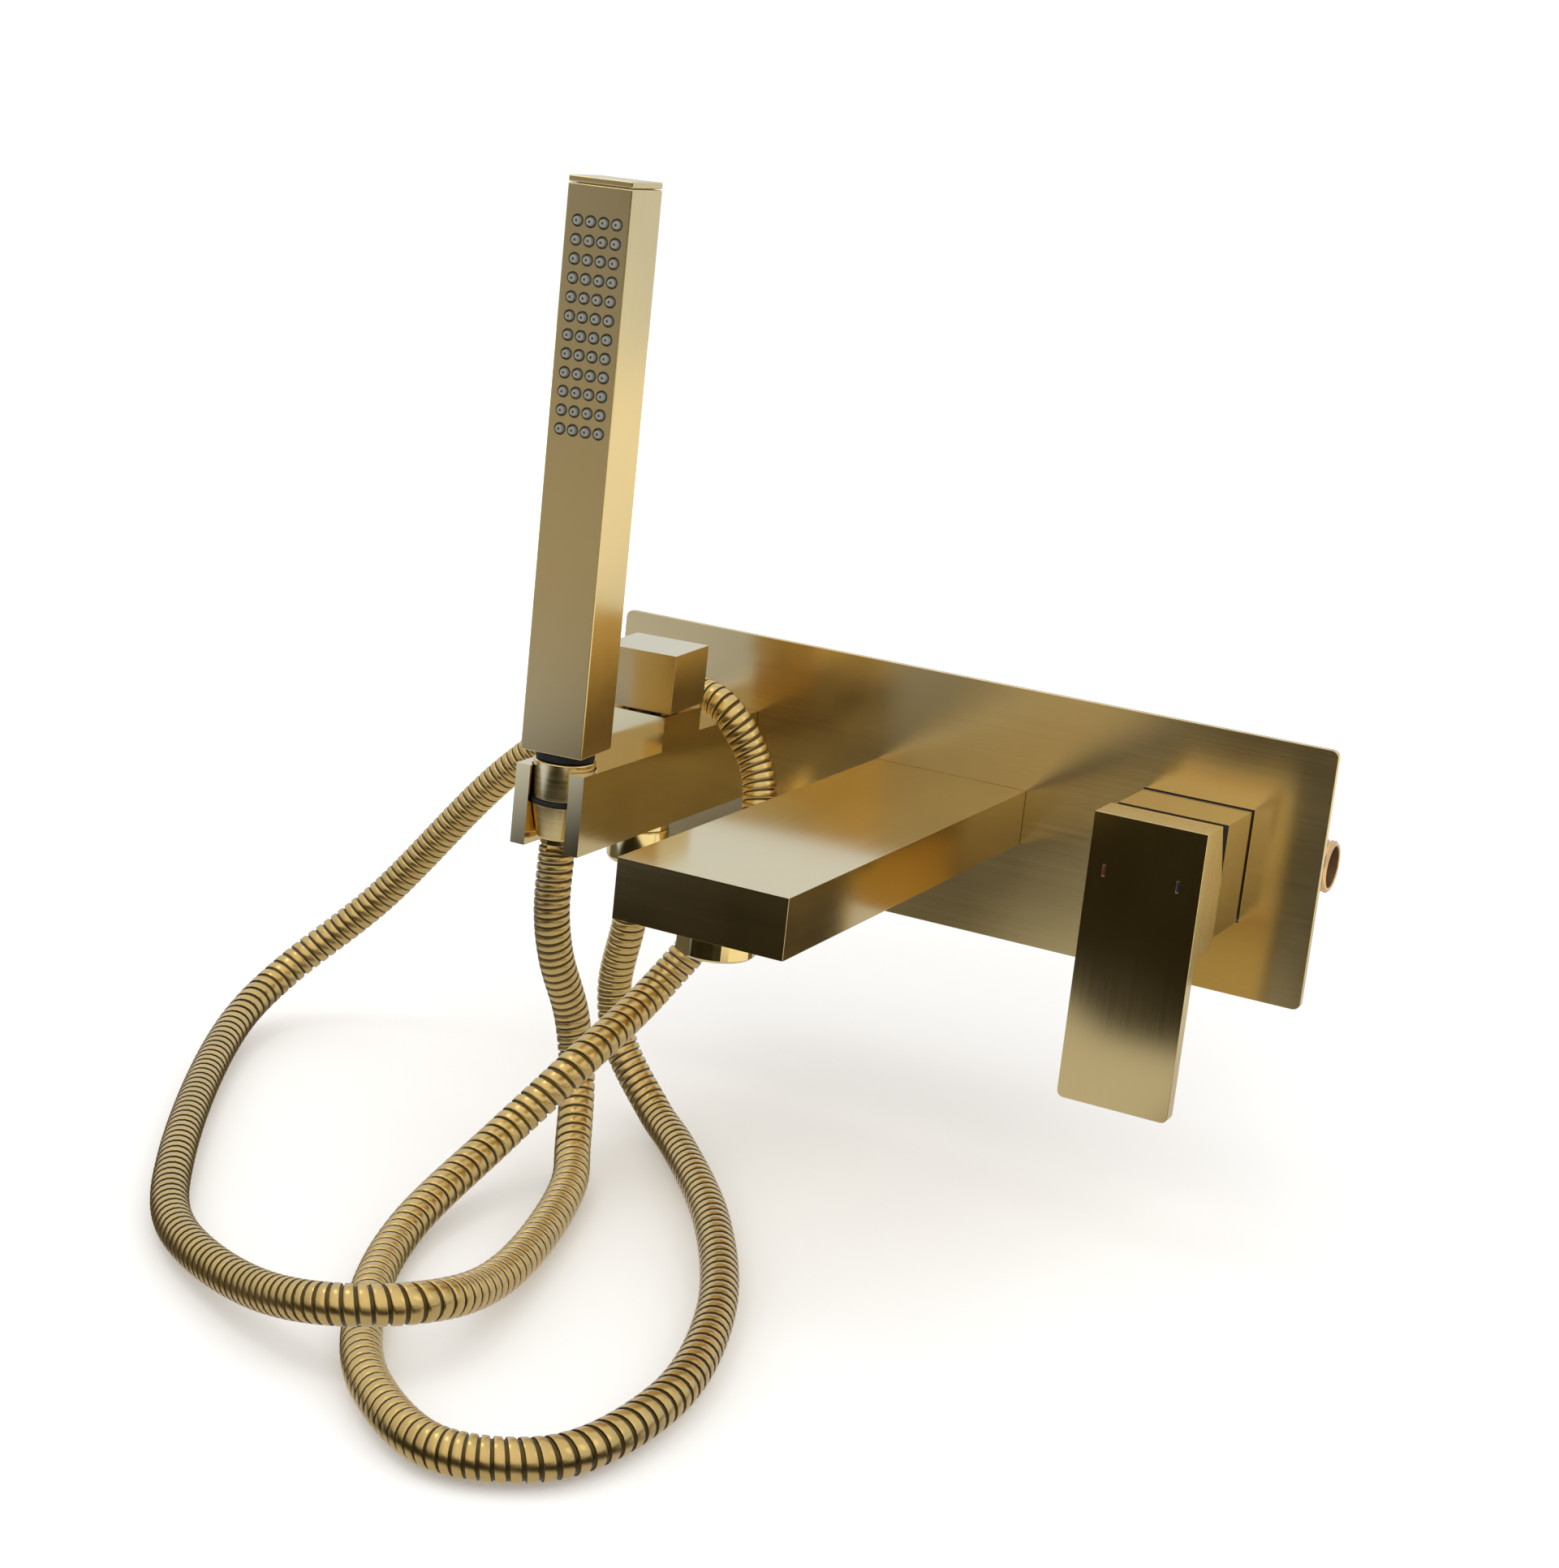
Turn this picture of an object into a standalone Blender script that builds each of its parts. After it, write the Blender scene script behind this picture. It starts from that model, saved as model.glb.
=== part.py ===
"""Wall mounted bath faucet: plate, block spout, lever mixer, diverter arm with a stick handset and its hose.

Frame: the origin is the centre of the wall plate's back, on the wall's surface. +X runs to the right,
the faucet stands out of the wall towards -Y, and +Z is up. All sizes below are in millimetres.
"""
import math

import bmesh
import bpy
from mathutils import Matrix, Vector

MM = 0.001
GAP = 0.3                      # play between neighbouring pieces

# Wall plate
PLATE_WIDTH, PLATE_HEIGHT, PLATE_THICKNESS = 310.0, 103.0, 3.0
PLATE_CORNER = 3.0
GASKET_INSET, GASKET_BAND, GASKET_DEPTH = 4.0, 8.0, 1.2
HEAD_SPACING = 103.5           # lever head to the right of the spout, diverter arm to the left

# Body inside the wall
BODY_FRONT, BODY_BACK = 10.0, 42.0
BODY_HALF_LENGTH, BODY_HALF_HEIGHT = 132.0, 20.0
INLET_DEPTH = 25.0             # inlet axis behind the wall's surface
INLET_RADIUS, INLET_BORE = 20.955 / 2, 16.6 / 2
INLET_END, INLET_START = 152.3, 122.5
NIPPLE_RADIUS, NIPPLE_BORE = 8.3, 5.5
NIPPLE_DEPTH = 13.5
SCREW_X, SCREW_Z = 52.0, 27.0

# Spout
SPOUT_WIDTH, SPOUT_HEIGHT, SPOUT_REACH = 66.0, 22.0, 213.0
AERATOR_Y, AERATOR_RADIUS, AERATOR_DROP = 197.0, 14.0, 8.0

# Mixer head
BASE_SIDE, BASE_FRONT = 44.0, 32.8
CARTRIDGE_RADIUS = 18.0
LEVER_WIDTH, LEVER_TOP, LEVER_BOTTOM = 44.4, 23.2, -89.7
LEVER_FRONT, BLADE_THICKNESS = 58.0, 6.0
HINGE_HEIGHT = 2.0             # bottom of the notch, where the lever tips
MARK_HOT_X, MARK_COLD_X = -15.7, 13.4

# Diverter arm
ARM_WIDTH, ARM_TOP, ARM_BOTTOM, ARM_REACH = 29.6, 15.5, -15.6, 142.9
TURRET_Y, TURRET_DEPTH, TURRET_TOP, NECK_TOP = 69.3, 29.7, 29.4, 20.0
SEAT_Y, SLOT_WIDTH = 132.7, 17.3
KNOB_SIDE, KNOB_BOTTOM, KNOB_TOP = 31.3, 30.9, 54.1
KNOB_YAW = math.radians(4.7)
NUT_RADIUS, NUT_TOP, NUT_BOTTOM = 12.1, -19.6, -34.0
CONE_BOTTOM, NUT_RIM_Z = -12.3, 1.2        # conical hose nut, hanging in the cradle
COLLAR_RADIUS, COLLAR_BOTTOM, COLLAR_TOP = 11.8, 3.6, 18.2

# Handset
STICK_SIDE, STICK_BOTTOM, STICK_TOP, STICK_WALL = 25.5, 21.9, 232.8, 1.8
CAP_HEIGHT = 2.4
HANDSET_YAW = math.radians(4.7)
NOZZLE_ROWS, NOZZLE_COLUMNS = 12, 4
NOZZLE_LOW_Z, NOZZLE_ROW_PITCH, NOZZLE_COLUMN_PITCH = 142.7, 6.77, 5.18
NOZZLE_RADIUS, NOZZLE_HOLE_RADIUS, NOZZLE_LIFT = 1.95, 2.25, 1.2

# Hose
HOSE_DIAMETER = 14.0
HOSE_START_Z, HOSE_END_Z = -37.8, -14.9
HOSE_SAMPLES = 78
# Route of the hose's centre line after it leaves the union nut: hand-chosen points, in millimetres.
HOSE_ROUTE = [
    (-HEAD_SPACING, -TURRET_Y, HOSE_START_Z), (-103.6, -69.3, -58), (-109.5, -66, -90),
    (-104.5, -66.5, -112), (-81, -75.5, -133.5), (-58, -96, -137), (-12, -153, -137), (27, -223, -137),
    (45, -292, -137), (36, -345, -137), (7, -361, -137), (-33, -340, -137), (-66, -297, -137),
    (-95, -230, -137), (-99, -163, -123), (-87.5, -130.5, -100.5), (-83, -78, -80), (-66, -60, -45),
    (-63, -46, -7), (-69, -42, 9), (-84.5, -43, 28.3), (-108, -36, 31), (-132, -30.5, 24),
    (-190, -28, -21), (-243, -42, -88), (-270, -68, -121), (-268, -102, -133), (-197, -232, -137),
    (-156, -283, -137), (-99, -316, -131), (-60, -325, -122.5), (-40, -307, -122.5), (-43, -252, -134),
    (-70, -160, -136.5), (-83, -136, -131), (-96, -114.5, -111.5), (-101.5, -113.5, -88),
    (-103.5, -126, -62), (-HEAD_SPACING, -132.5, -42), (-HEAD_SPACING, -SEAT_Y, HOSE_END_Z),
]

BRASS = ("brushed_brass", (0.62, 0.50, 0.28), 0.32, 1.0)
COPPER = ("raw_brass", (0.72, 0.42, 0.18), 0.35, 1.0)
RUBBER = ("black_rubber", (0.02, 0.02, 0.02), 0.55, 0.0)
PLASTIC = ("grey_plastic", (0.32, 0.33, 0.34), 0.45, 0.0)
SILICONE = ("nozzle_silicone", (0.62, 0.64, 0.60), 0.5, 0.0)
STEEL = ("screw_steel", (0.56, 0.56, 0.58), 0.3, 1.0)
RED = ("hot_red", (0.70, 0.04, 0.03), 0.35, 0.0)
BLUE = ("cold_blue", (0.03, 0.08, 0.60), 0.35, 0.0)

AXES = {
    "Z": Matrix.Identity(4),
    "X": Matrix.Rotation(math.radians(90), 4, "Y"),     # local Z runs along +X
    "Y": Matrix.Rotation(math.radians(-90), 4, "X"),    # local Z runs along +Y
}


# ---------------------------------------------------------------- building blocks

def clear_scene():
    for obj in list(bpy.data.objects):
        bpy.data.objects.remove(obj)


def get_material(spec):
    name, colour, roughness, metallic = spec
    material = bpy.data.materials.get(name)
    if material is None:
        material = bpy.data.materials.new(name)
        material.use_nodes = True
        shader = material.node_tree.nodes["Principled BSDF"]
        shader.inputs["Base Color"].default_value = (*colour, 1.0)
        shader.inputs["Roughness"].default_value = roughness
        shader.inputs["Metallic"].default_value = metallic
    return material


def add_object(name, bm, spec=None, parent=None, at=(0, 0, 0), axis="Z"):
    """Make an object from a bmesh in millimetres, placed at a point in its parent's frame."""
    bmesh.ops.recalc_face_normals(bm, faces=bm.faces)
    mesh = bpy.data.meshes.new(name)
    bm.to_mesh(mesh)
    bm.free()
    mesh.transform(Matrix.Scale(MM, 4) @ AXES[axis])
    mesh.shade_smooth()
    mesh.set_sharp_from_angle(angle=math.radians(35))
    obj = bpy.data.objects.new(name, mesh)
    bpy.context.scene.collection.objects.link(obj)
    obj.parent = parent
    obj.location = Vector(at) * MM
    if spec is not None:
        mesh.materials.append(get_material(spec))
    return obj


def add_pivot(name, at, yaw=0.0):
    """An empty on a joint's axis, which the moving pieces hang from."""
    pivot = bpy.data.objects.new(name, None)
    pivot.empty_display_size = 0.01
    bpy.context.scene.collection.objects.link(pivot)
    pivot.location = Vector(at) * MM
    pivot.rotation_euler.z = yaw
    return pivot


def box_mesh(low, high, bm=None):
    bm = bm or bmesh.new()
    corners = [bm.verts.new((x, y, z)) for x in (low[0], high[0])
               for y in (low[1], high[1]) for z in (low[2], high[2])]
    for quad in ((0, 1, 3, 2), (4, 6, 7, 5), (0, 4, 5, 1), (2, 3, 7, 6), (0, 2, 6, 4), (1, 5, 7, 3)):
        bm.faces.new([corners[i] for i in quad])
    return bm


def turned_mesh(outline, segments=24, bm=None, centre=(0.0, 0.0)):
    """A solid of revolution about Z. The outline is (radius, height) pairs; it closes on itself,
    or on the axis where it starts and ends at radius 0."""
    bm = bm or bmesh.new()
    rings = []
    for radius, height in outline:
        if radius == 0:
            rings.append([bm.verts.new((centre[0], centre[1], height))])
        else:
            turn = [2 * math.pi * i / segments for i in range(segments)]
            rings.append([bm.verts.new((centre[0] + radius * math.cos(a), centre[1] + radius * math.sin(a),
                                        height)) for a in turn])
    pairs = list(zip(rings, rings[1:]))
    if outline[0][0] != 0:
        pairs.append((rings[-1], rings[0]))
    for lower, upper in pairs:
        for i in range(segments):
            j = (i + 1) % segments
            corners = [lower[i % len(lower)], lower[j % len(lower)], upper[j % len(upper)], upper[i % len(upper)]]
            bm.faces.new(list(dict.fromkeys(corners)))
    return bm


def rod_mesh(radius, low, high, segments=24, bm=None, centre=(0.0, 0.0)):
    return turned_mesh([(0, low), (radius, low), (radius, high), (0, high)], segments, bm, centre)


def tube_mesh(radius, bore, low, high, segments=24):
    return turned_mesh([(bore, low), (radius, low), (radius, high), (bore, high)], segments)


def extruded_mesh(outline, low, high):
    """A flat outline of (u, v) pairs, pulled along Z from low to high."""
    bm = bmesh.new()
    bottom = [bm.verts.new((u, v, low)) for u, v in outline]
    top = [bm.verts.new((u, v, high)) for u, v in outline]
    bm.faces.new(bottom)
    bm.faces.new(top)
    for i in range(len(outline)):
        j = (i + 1) % len(outline)
        bm.faces.new((bottom[i], bottom[j], top[j], top[i]))
    return bm


def rounded_rectangle(width, height, radius, steps=4):
    points = []
    for corner, (sx, sy) in enumerate(((1, 1), (-1, 1), (-1, -1), (1, -1))):
        cx, cy = sx * (width / 2 - radius), sy * (height / 2 - radius)
        for step in range(steps + 1):
            angle = math.radians(90 * corner + 90 * step / steps)
            points.append((cx + radius * math.cos(angle), cy + radius * math.sin(angle)))
    return points


def arc_points(centre, radius, start_deg, end_deg, steps):
    angles = [math.radians(start_deg + (end_deg - start_deg) * i / steps) for i in range(steps + 1)]
    return [(centre[0] + radius * math.cos(a), centre[1] + radius * math.sin(a)) for a in angles]


def cut(obj, cutter):
    """Subtract a cutter, which stays hidden in the file."""
    cutter.hide_render = True
    cutter.display_type = "WIRE"
    modifier = obj.modifiers.new(cutter.name, "BOOLEAN")
    modifier.operation = "DIFFERENCE"
    modifier.object = cutter


def drill(obj, name, radius, low, high, at=(0, 0, 0), axis="Z", segments=24):
    """Drill a round hole from low to high along an axis through a point."""
    cut(obj, add_object(name + "_cutter", rod_mesh(radius, low, high, segments),
                        parent=obj.parent, at=at, axis=axis))


def mill(obj, name, low, high):
    """Mill a rectangular pocket."""
    cut(obj, add_object(name + "_cutter", box_mesh(low, high), parent=obj.parent))


# ---------------------------------------------------------------- wall side

def make_plate():
    outline = rounded_rectangle(PLATE_WIDTH, PLATE_HEIGHT, PLATE_CORNER)
    plate = add_object("wall_plate", extruded_mesh(outline, -PLATE_THICKNESS, 0), BRASS, axis="Y")
    side = BASE_SIDE / 2 + 0.45
    mill(plate, "head_opening", (HEAD_SPACING - side, -5, -side), (HEAD_SPACING + side, 2, side))
    for name, x in (("spout", 0), ("diverter", -HEAD_SPACING)):
        drill(plate, name + "_plate_hole", NIPPLE_RADIUS + 0.6, -5, 2, (x, 0, 0), "Y")
    cut(plate, frame_band("gasket_groove", GASKET_INSET, GASKET_BAND, -GASKET_DEPTH, 1.0))
    gasket = frame_band("plate_gasket", GASKET_INSET + GAP, GASKET_BAND - 2 * GAP, -GASKET_DEPTH + GAP, 0.0)
    gasket.data.materials.append(get_material(RUBBER))


def frame_band(name, inset, band, low, high):
    """A flat rectangular frame, its outer edge inset from the plate's own edge."""
    bm = bmesh.new()
    loops = []
    for margin in (inset, inset + band):
        x, z = PLATE_WIDTH / 2 - margin, PLATE_HEIGHT / 2 - margin
        for y in (low, high):
            loops.append([bm.verts.new(p) for p in ((x, y, z), (-x, y, z), (-x, y, -z), (x, y, -z))])
    outer_front, outer_back, inner_front, inner_back = loops
    for a, b in ((outer_front, outer_back), (outer_back, inner_back),
                 (inner_back, inner_front), (inner_front, outer_front)):
        for i in range(4):
            bm.faces.new((a[i], a[(i + 1) % 4], b[(i + 1) % 4], b[i]))
    return add_object(name, bm)


def make_valve_body():
    """The brass bar in the wall, with inlets at its ends, three front ports and its water channels."""
    bm = box_mesh((-BODY_HALF_LENGTH, BODY_FRONT, -BODY_HALF_HEIGHT),
                  (BODY_HALF_LENGTH, BODY_BACK, BODY_HALF_HEIGHT))
    body = add_object("valve_body", bm, COPPER)
    collar = add_object("cartridge_collar_blank", rod_mesh(19.7, -5.8, BODY_FRONT + 4),
                        at=(HEAD_SPACING, 0, 0), axis="Y")
    lugs = add_object("lug_blanks", lug_mesh())
    for blank in (collar, lugs):
        blank.hide_render = True
        blank.display_type = "WIRE"
        modifier = body.modifiers.new(blank.name, "BOOLEAN")
        modifier.operation = "UNION"
        modifier.object = blank
    drill(body, "cartridge_cavity", CARTRIDGE_RADIUS + GAP, -8, 36, (HEAD_SPACING, 0, 0), "Y", 32)
    for name, x in (("spout", 0), ("diverter", -HEAD_SPACING)):
        drill(body, name + "_port", NIPPLE_RADIUS + GAP, BODY_FRONT - 1, 28.5, (x, 0, 0), "Y", 24)
    for name, side in (("cold", 1), ("hot", -1)):
        low, high = sorted((side * (INLET_START - 7), side * (BODY_HALF_LENGTH + 1)))
        drill(body, name + "_port", INLET_RADIUS + GAP, low, high, (0, INLET_DEPTH, 0), "X")
        drill(body, name + "_screw_hole", 2.6, BODY_BACK - 6, BODY_BACK + 1, (side * SCREW_X, 0, SCREW_Z), "Y", 16)
    drill(body, "hot_channel", 3.6, 3 - INLET_START, HEAD_SPACING - 12, (0, 33, -10), "X", 16)
    drill(body, "mixed_channel", 3.6, -HEAD_SPACING, HEAD_SPACING - 12, (0, 24.6, 6), "X", 16)


def lug_mesh():
    bm = bmesh.new()
    for side in (-1, 1):
        box_mesh((side * SCREW_X - 9, BODY_BACK - 4, BODY_HALF_HEIGHT - 3),
                 (side * SCREW_X + 9, BODY_BACK, SCREW_Z + 7), bm)
    return bm


def make_wall_fittings():
    for name, side in (("cold", 1), ("hot", -1)):
        low, high = sorted((side * INLET_START, side * INLET_END))
        add_object(name + "_inlet_nipple", tube_mesh(INLET_RADIUS, INLET_BORE, low, high), COPPER,
                   at=(0, INLET_DEPTH, 0), axis="X")
        head, seat, tip = BODY_BACK - 6.8, BODY_BACK - 4 - GAP, BODY_BACK + 18
        outline = [(0, head + 1.4), (1.6, head + 1.4), (2.4, head), (4.6, head), (4.6, seat),
                   (2.2, seat), (2.2, tip - 3), (0, tip)]
        add_object("body_screw_" + ("right" if side > 0 else "left"), turned_mesh(outline, 16), STEEL,
                   at=(side * SCREW_X, 0, SCREW_Z), axis="Y")
    for name, x in (("spout", 0), ("diverter", -HEAD_SPACING)):
        front, rear = -PLATE_THICKNESS - NIPPLE_DEPTH, BODY_FRONT + NIPPLE_DEPTH - 2
        outline = [(NIPPLE_BORE, front), (NIPPLE_RADIUS, front), (NIPPLE_RADIUS, 1.5), (12, 1.5), (12, 7.2),
                   (NIPPLE_RADIUS, 7.2), (NIPPLE_RADIUS, rear), (NIPPLE_BORE, rear)]
        add_object(name + "_nipple", turned_mesh(outline, 24), COPPER, at=(x, 0, 0), axis="Y")
        add_object(name + "_port_washer", tube_mesh(12, NIPPLE_RADIUS + 0.4, 7.5, BODY_FRONT - GAP, 24), RUBBER,
                   at=(x, 0, 0), axis="Y")


# ---------------------------------------------------------------- spout

def make_spout():
    half, top = SPOUT_WIDTH / 2, SPOUT_HEIGHT / 2
    back = -PLATE_THICKNESS - GAP
    spout = add_object("spout_body", box_mesh((-half, -SPOUT_REACH, -top), (half, back, top)), BRASS)
    mill(spout, "spout_channel", (-half + 7, -SPOUT_REACH + 6, -top + 4), (half - 7, back - 12, top - 4))
    drill(spout, "spout_inlet", NIPPLE_RADIUS + GAP, back - 14, back + 1, axis="Y")
    drill(spout, "aerator_bore", 11.2, -top - 1, -top + 5, (0, -AERATOR_Y, 0))
    at = (0, -AERATOR_Y, -top)
    low = -AERATOR_DROP
    outline = [(9.9, low), (AERATOR_RADIUS - 1, low), (AERATOR_RADIUS, low + 1), (AERATOR_RADIUS, -GAP),
               (10.9, -GAP), (10.9, 3.2), (9.9, 3.2)]
    housing = add_object("aerator_housing", turned_mesh(outline, 32), BRASS, at=at)
    for name, angle in (("front", -128), ("rear", 52)):
        flat = add_object(name + "_flat_cutter", box_mesh((AERATOR_RADIUS - 1.3, -10, low - 1), (20, 10, -0.2)), at=at)
        flat.rotation_euler.z = math.radians(angle)
        cut(housing, flat)
    add_object("aerator_insert", turned_mesh([(0, low + 1.5), (9.5, low + 1.5), (9.5, 2.2), (7, 3), (0, 3)], 32),
               PLASTIC, at=at)
    add_object("aerator_washer", tube_mesh(10.8, 7.5, 3.5, 4.8, 24), RUBBER, at=at)


# ---------------------------------------------------------------- mixer head

def make_mixer_head():
    at = (HEAD_SPACING, 0, 0)
    outline = [(0, -1.5), (10, -1.5), (10, -9), (14, -9), (14, -4), (CARTRIDGE_RADIUS, -4),
               (CARTRIDGE_RADIUS, 33.6), (0, 33.6)]
    add_object("mixer_cartridge", turned_mesh(outline, 32), PLASTIC, at=at, axis="Y")
    add_object("cartridge_seal", tube_mesh(17, 11, 33.9, 35.6), RUBBER, at=at, axis="Y")
    outline = [(14.3, -10.5), (19.5, -10.5), (19.5, -6.1), (CARTRIDGE_RADIUS, -6.1), (CARTRIDGE_RADIUS, -4.3),
               (14.3, -4.3)]
    add_object("cartridge_retaining_nut", turned_mesh(outline), COPPER, at=at, axis="Y")
    half = BASE_SIDE / 2
    base = add_object("lever_base", box_mesh((HEAD_SPACING - half, -BASE_FRONT, -half),
                                             (HEAD_SPACING + half, 8, half)), BRASS)
    drill(base, "base_bore", 20.2, -BASE_FRONT + 3.8, 9, at, "Y", 32)
    drill(base, "stem_window", 8.5, -BASE_FRONT - 1, -BASE_FRONT + 5, at, "Y")


def make_mixer_turntable():
    """The slotted disc that turns with the lever on top of the cartridge."""
    pivot = add_pivot("mixer_turn_axis", (HEAD_SPACING, 0, 0))
    outline = [(0, -22), (15, -22), (15, -11.5), (9.6, -11.5), (9.6, -2), (0, -2)]
    disc = add_object("mixer_turntable", turned_mesh(outline), PLASTIC, pivot, axis="Y")
    mill(disc, "turntable_slot", (-4.4, -23, -12.6), (4.4, -12.8, 6))


def make_lever():
    """Lever, stem and screws. They tip about a sideways line through the bottom of the notch."""
    hinge_y = BASE_FRONT + GAP
    pivot = add_pivot("lever_lift_axis", (HEAD_SPACING, -hinge_y, HINGE_HEIGHT))
    lever = add_object("lever_handle", lever_mesh(hinge_y), BRASS, pivot)
    stem_y, stem_z = 8.7, -HINGE_HEIGHT
    mill(lever, "stem_socket", (-4.3, -15, stem_z - 4.3), (4.3, 1, stem_z + 4.3))
    drill(lever, "grub_hole", 2.6, -30, stem_z - 3, (0, -stem_y, 0), segments=16)
    for name, x, colour in (("hot_mark", MARK_HOT_X, RED), ("cold_mark", MARK_COLD_X, BLUE)):
        front = hinge_y - LEVER_FRONT
        mill(lever, name + "_pocket", (x - 0.5, front - 1, -2.8), (x + 0.5, front + 0.7, 1.4))
        add_object(name, box_mesh((x - 0.4, front, -2.7), (x + 0.4, front + 0.5, 1.3)), colour, pivot)
    stem = box_mesh((-4, -14.4, stem_z - 4), (4, 19, stem_z + 4))
    add_object("cartridge_stem", stem, STEEL, pivot)
    tip, tail = stem_z - 4.3, stem_z - 12.5
    outline = [(0, tail + 2), (1.2, tail + 2), (1.2, tail), (2.2, tail), (2.2, tip), (0, tip)]
    add_object("lever_grub_screw", turned_mesh(outline, 16), STEEL, pivot, at=(0, -stem_y, 0))
    add_object("lever_screw_plug", rod_mesh(2.2, -26.6, -24.6, 16), BRASS, pivot, at=(0, -stem_y, 0))


def lever_mesh(hinge_y):
    """The lever's side view, a boss with a thin blade below it, pulled across its width."""
    front, rear = hinge_y - LEVER_FRONT, 0.0
    top, bottom = LEVER_TOP - HINGE_HEIGHT, LEVER_BOTTOM - HINGE_HEIGHT
    blade = front + BLADE_THICKNESS
    outline = [(front, top), (front + 17.2, top), (rear, 0.0)]
    outline += arc_points((rear - 3.4, -23.6), 3.4, 0, -85, 4)
    outline += arc_points((blade + 2.5, -29.9), 2.5, 90, 180, 3)
    outline += [(blade, bottom), (front, bottom)]
    bm = bmesh.new()
    half = LEVER_WIDTH / 2
    left = [bm.verts.new((-half, y, z)) for y, z in outline]
    right = [bm.verts.new((half, y, z)) for y, z in outline]
    bm.faces.new(left)
    bm.faces.new(right)
    for i in range(len(outline)):
        j = (i + 1) % len(outline)
        bm.faces.new((left[i], left[j], right[j], right[i]))
    corners = [e for e in bm.edges if all(abs(v.co.z - bottom) < 0.01 for v in e.verts)
               and abs(e.verts[0].co.x - e.verts[1].co.x) < 0.01]
    bmesh.ops.bevel(bm, geom=corners, offset=2.5, segments=4, profile=0.5, affect="EDGES")
    return bm


# ---------------------------------------------------------------- diverter arm

def make_diverter_body():
    """Neck, turret and forked arm in one casting, with its bores and the cradle's conical seat."""
    turret_front, turret_back = -TURRET_Y - TURRET_DEPTH / 2, -TURRET_Y + TURRET_DEPTH / 2
    back = -PLATE_THICKNESS - GAP
    outline = [(-ARM_REACH, ARM_TOP), (turret_front, ARM_TOP), (turret_front, TURRET_TOP),
               (turret_back, TURRET_TOP), (turret_back, NECK_TOP), (back, NECK_TOP),
               (back, ARM_BOTTOM), (-ARM_REACH, ARM_BOTTOM)]
    bm = bmesh.new()
    half = ARM_WIDTH / 2
    sides = [[bm.verts.new((x - HEAD_SPACING, y, z)) for y, z in outline] for x in (-half, half)]
    for side in sides:
        bm.faces.new(side)
    for i in range(len(outline)):
        j = (i + 1) % len(outline)
        bm.faces.new((sides[0][i], sides[0][j], sides[1][j], sides[1][i]))
    body = add_object("diverter_body", bm, BRASS)
    turret = (-HEAD_SPACING, -TURRET_Y, 0)
    drill(body, "turret_bore", 11.5, -4, TURRET_TOP + 1, turret)
    drill(body, "outlet_passage", 5.5, -8, -3, turret, segments=24)
    drill(body, "outlet_bore", 8.4, ARM_BOTTOM - 1, -6, turret)
    drill(body, "feed_bore", NIPPLE_RADIUS + GAP, back - 14, back + 1, (-HEAD_SPACING, 0, 0), "Y")
    drill(body, "feed_channel", 5.0, -TURRET_Y + 8, back - 13, (-HEAD_SPACING, 0, 0), "Y", 24)
    ledge = NUT_RIM_Z - GAP
    seat = [(0, -17), (SLOT_WIDTH / 2, -17), (SLOT_WIDTH / 2, CONE_BOTTOM), (cone_radius(ledge) + 0.4, ledge),
            (COLLAR_RADIUS + 0.4, ledge), (COLLAR_RADIUS + 0.4, 17), (0, 17)]
    cut(body, add_object("cradle_seat_cutter", turned_mesh(seat, 32), at=(-HEAD_SPACING, -SEAT_Y, 0)))
    mill(body, "cradle_slot", (-HEAD_SPACING - SLOT_WIDTH / 2, -ARM_REACH - 2, -18),
         (-HEAD_SPACING + SLOT_WIDTH / 2, -SEAT_Y, 18))


def cone_radius(z):
    """Outer radius of the hose nut (below) and the handset's collar (above) at a height in the cradle."""
    if z <= NUT_RIM_Z:
        return 11.2 + (z - NUT_RIM_Z) * 0.215
    return COLLAR_RADIUS + (z - COLLAR_TOP) * 0.04


def make_diverter_fittings():
    at = (-HEAD_SPACING, -TURRET_Y, 0)
    outline = [(0, -3.6), (11.2, -3.6), (11.2, 26), (7, 26), (7, 29.0), (4.3, 29.0), (4.3, 18), (0, 18)]
    add_object("diverter_cartridge", turned_mesh(outline), PLASTIC, at=at)
    add_object("diverter_retaining_nut", tube_mesh(11.2, 7.3, 26.3, 29.2), COPPER, at=at)
    outline = [(5.9, -27.7), (10.1, -27.7), (10.1, -19.3), (11.8, -19.3), (11.8, ARM_BOTTOM - GAP),
               (8.1, ARM_BOTTOM - GAP), (8.1, -6.4), (5.9, -6.4)]
    add_object("outlet_nipple", turned_mesh(outline), BRASS, at=at)
    add_object("check_valve", tube_mesh(5.6, 3.0, -18, -9, 24), PLASTIC, at=at)
    outline = [(7.3, NUT_BOTTOM), (10.9, NUT_BOTTOM), (NUT_RADIUS, NUT_BOTTOM + 1.6), (NUT_RADIUS, NUT_TOP - 0.6),
               (NUT_RADIUS - 0.6, NUT_TOP), (10.4, NUT_TOP), (10.4, -31), (7.3, -31)]
    add_object("hose_union_nut", turned_mesh(outline), BRASS, at=at)
    add_object("union_washer", tube_mesh(9.8, 5.5, -29.6, -28, 24), RUBBER, at=at)
    outline = [(5, HOSE_START_Z + GAP), (6.9, HOSE_START_Z + GAP), (6.9, -30.7), (9.6, -30.7), (9.6, -29.9),
               (5, -29.9)]
    add_object("hose_ferrule_lower", turned_mesh(outline, 24), BRASS, at=at)


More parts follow.
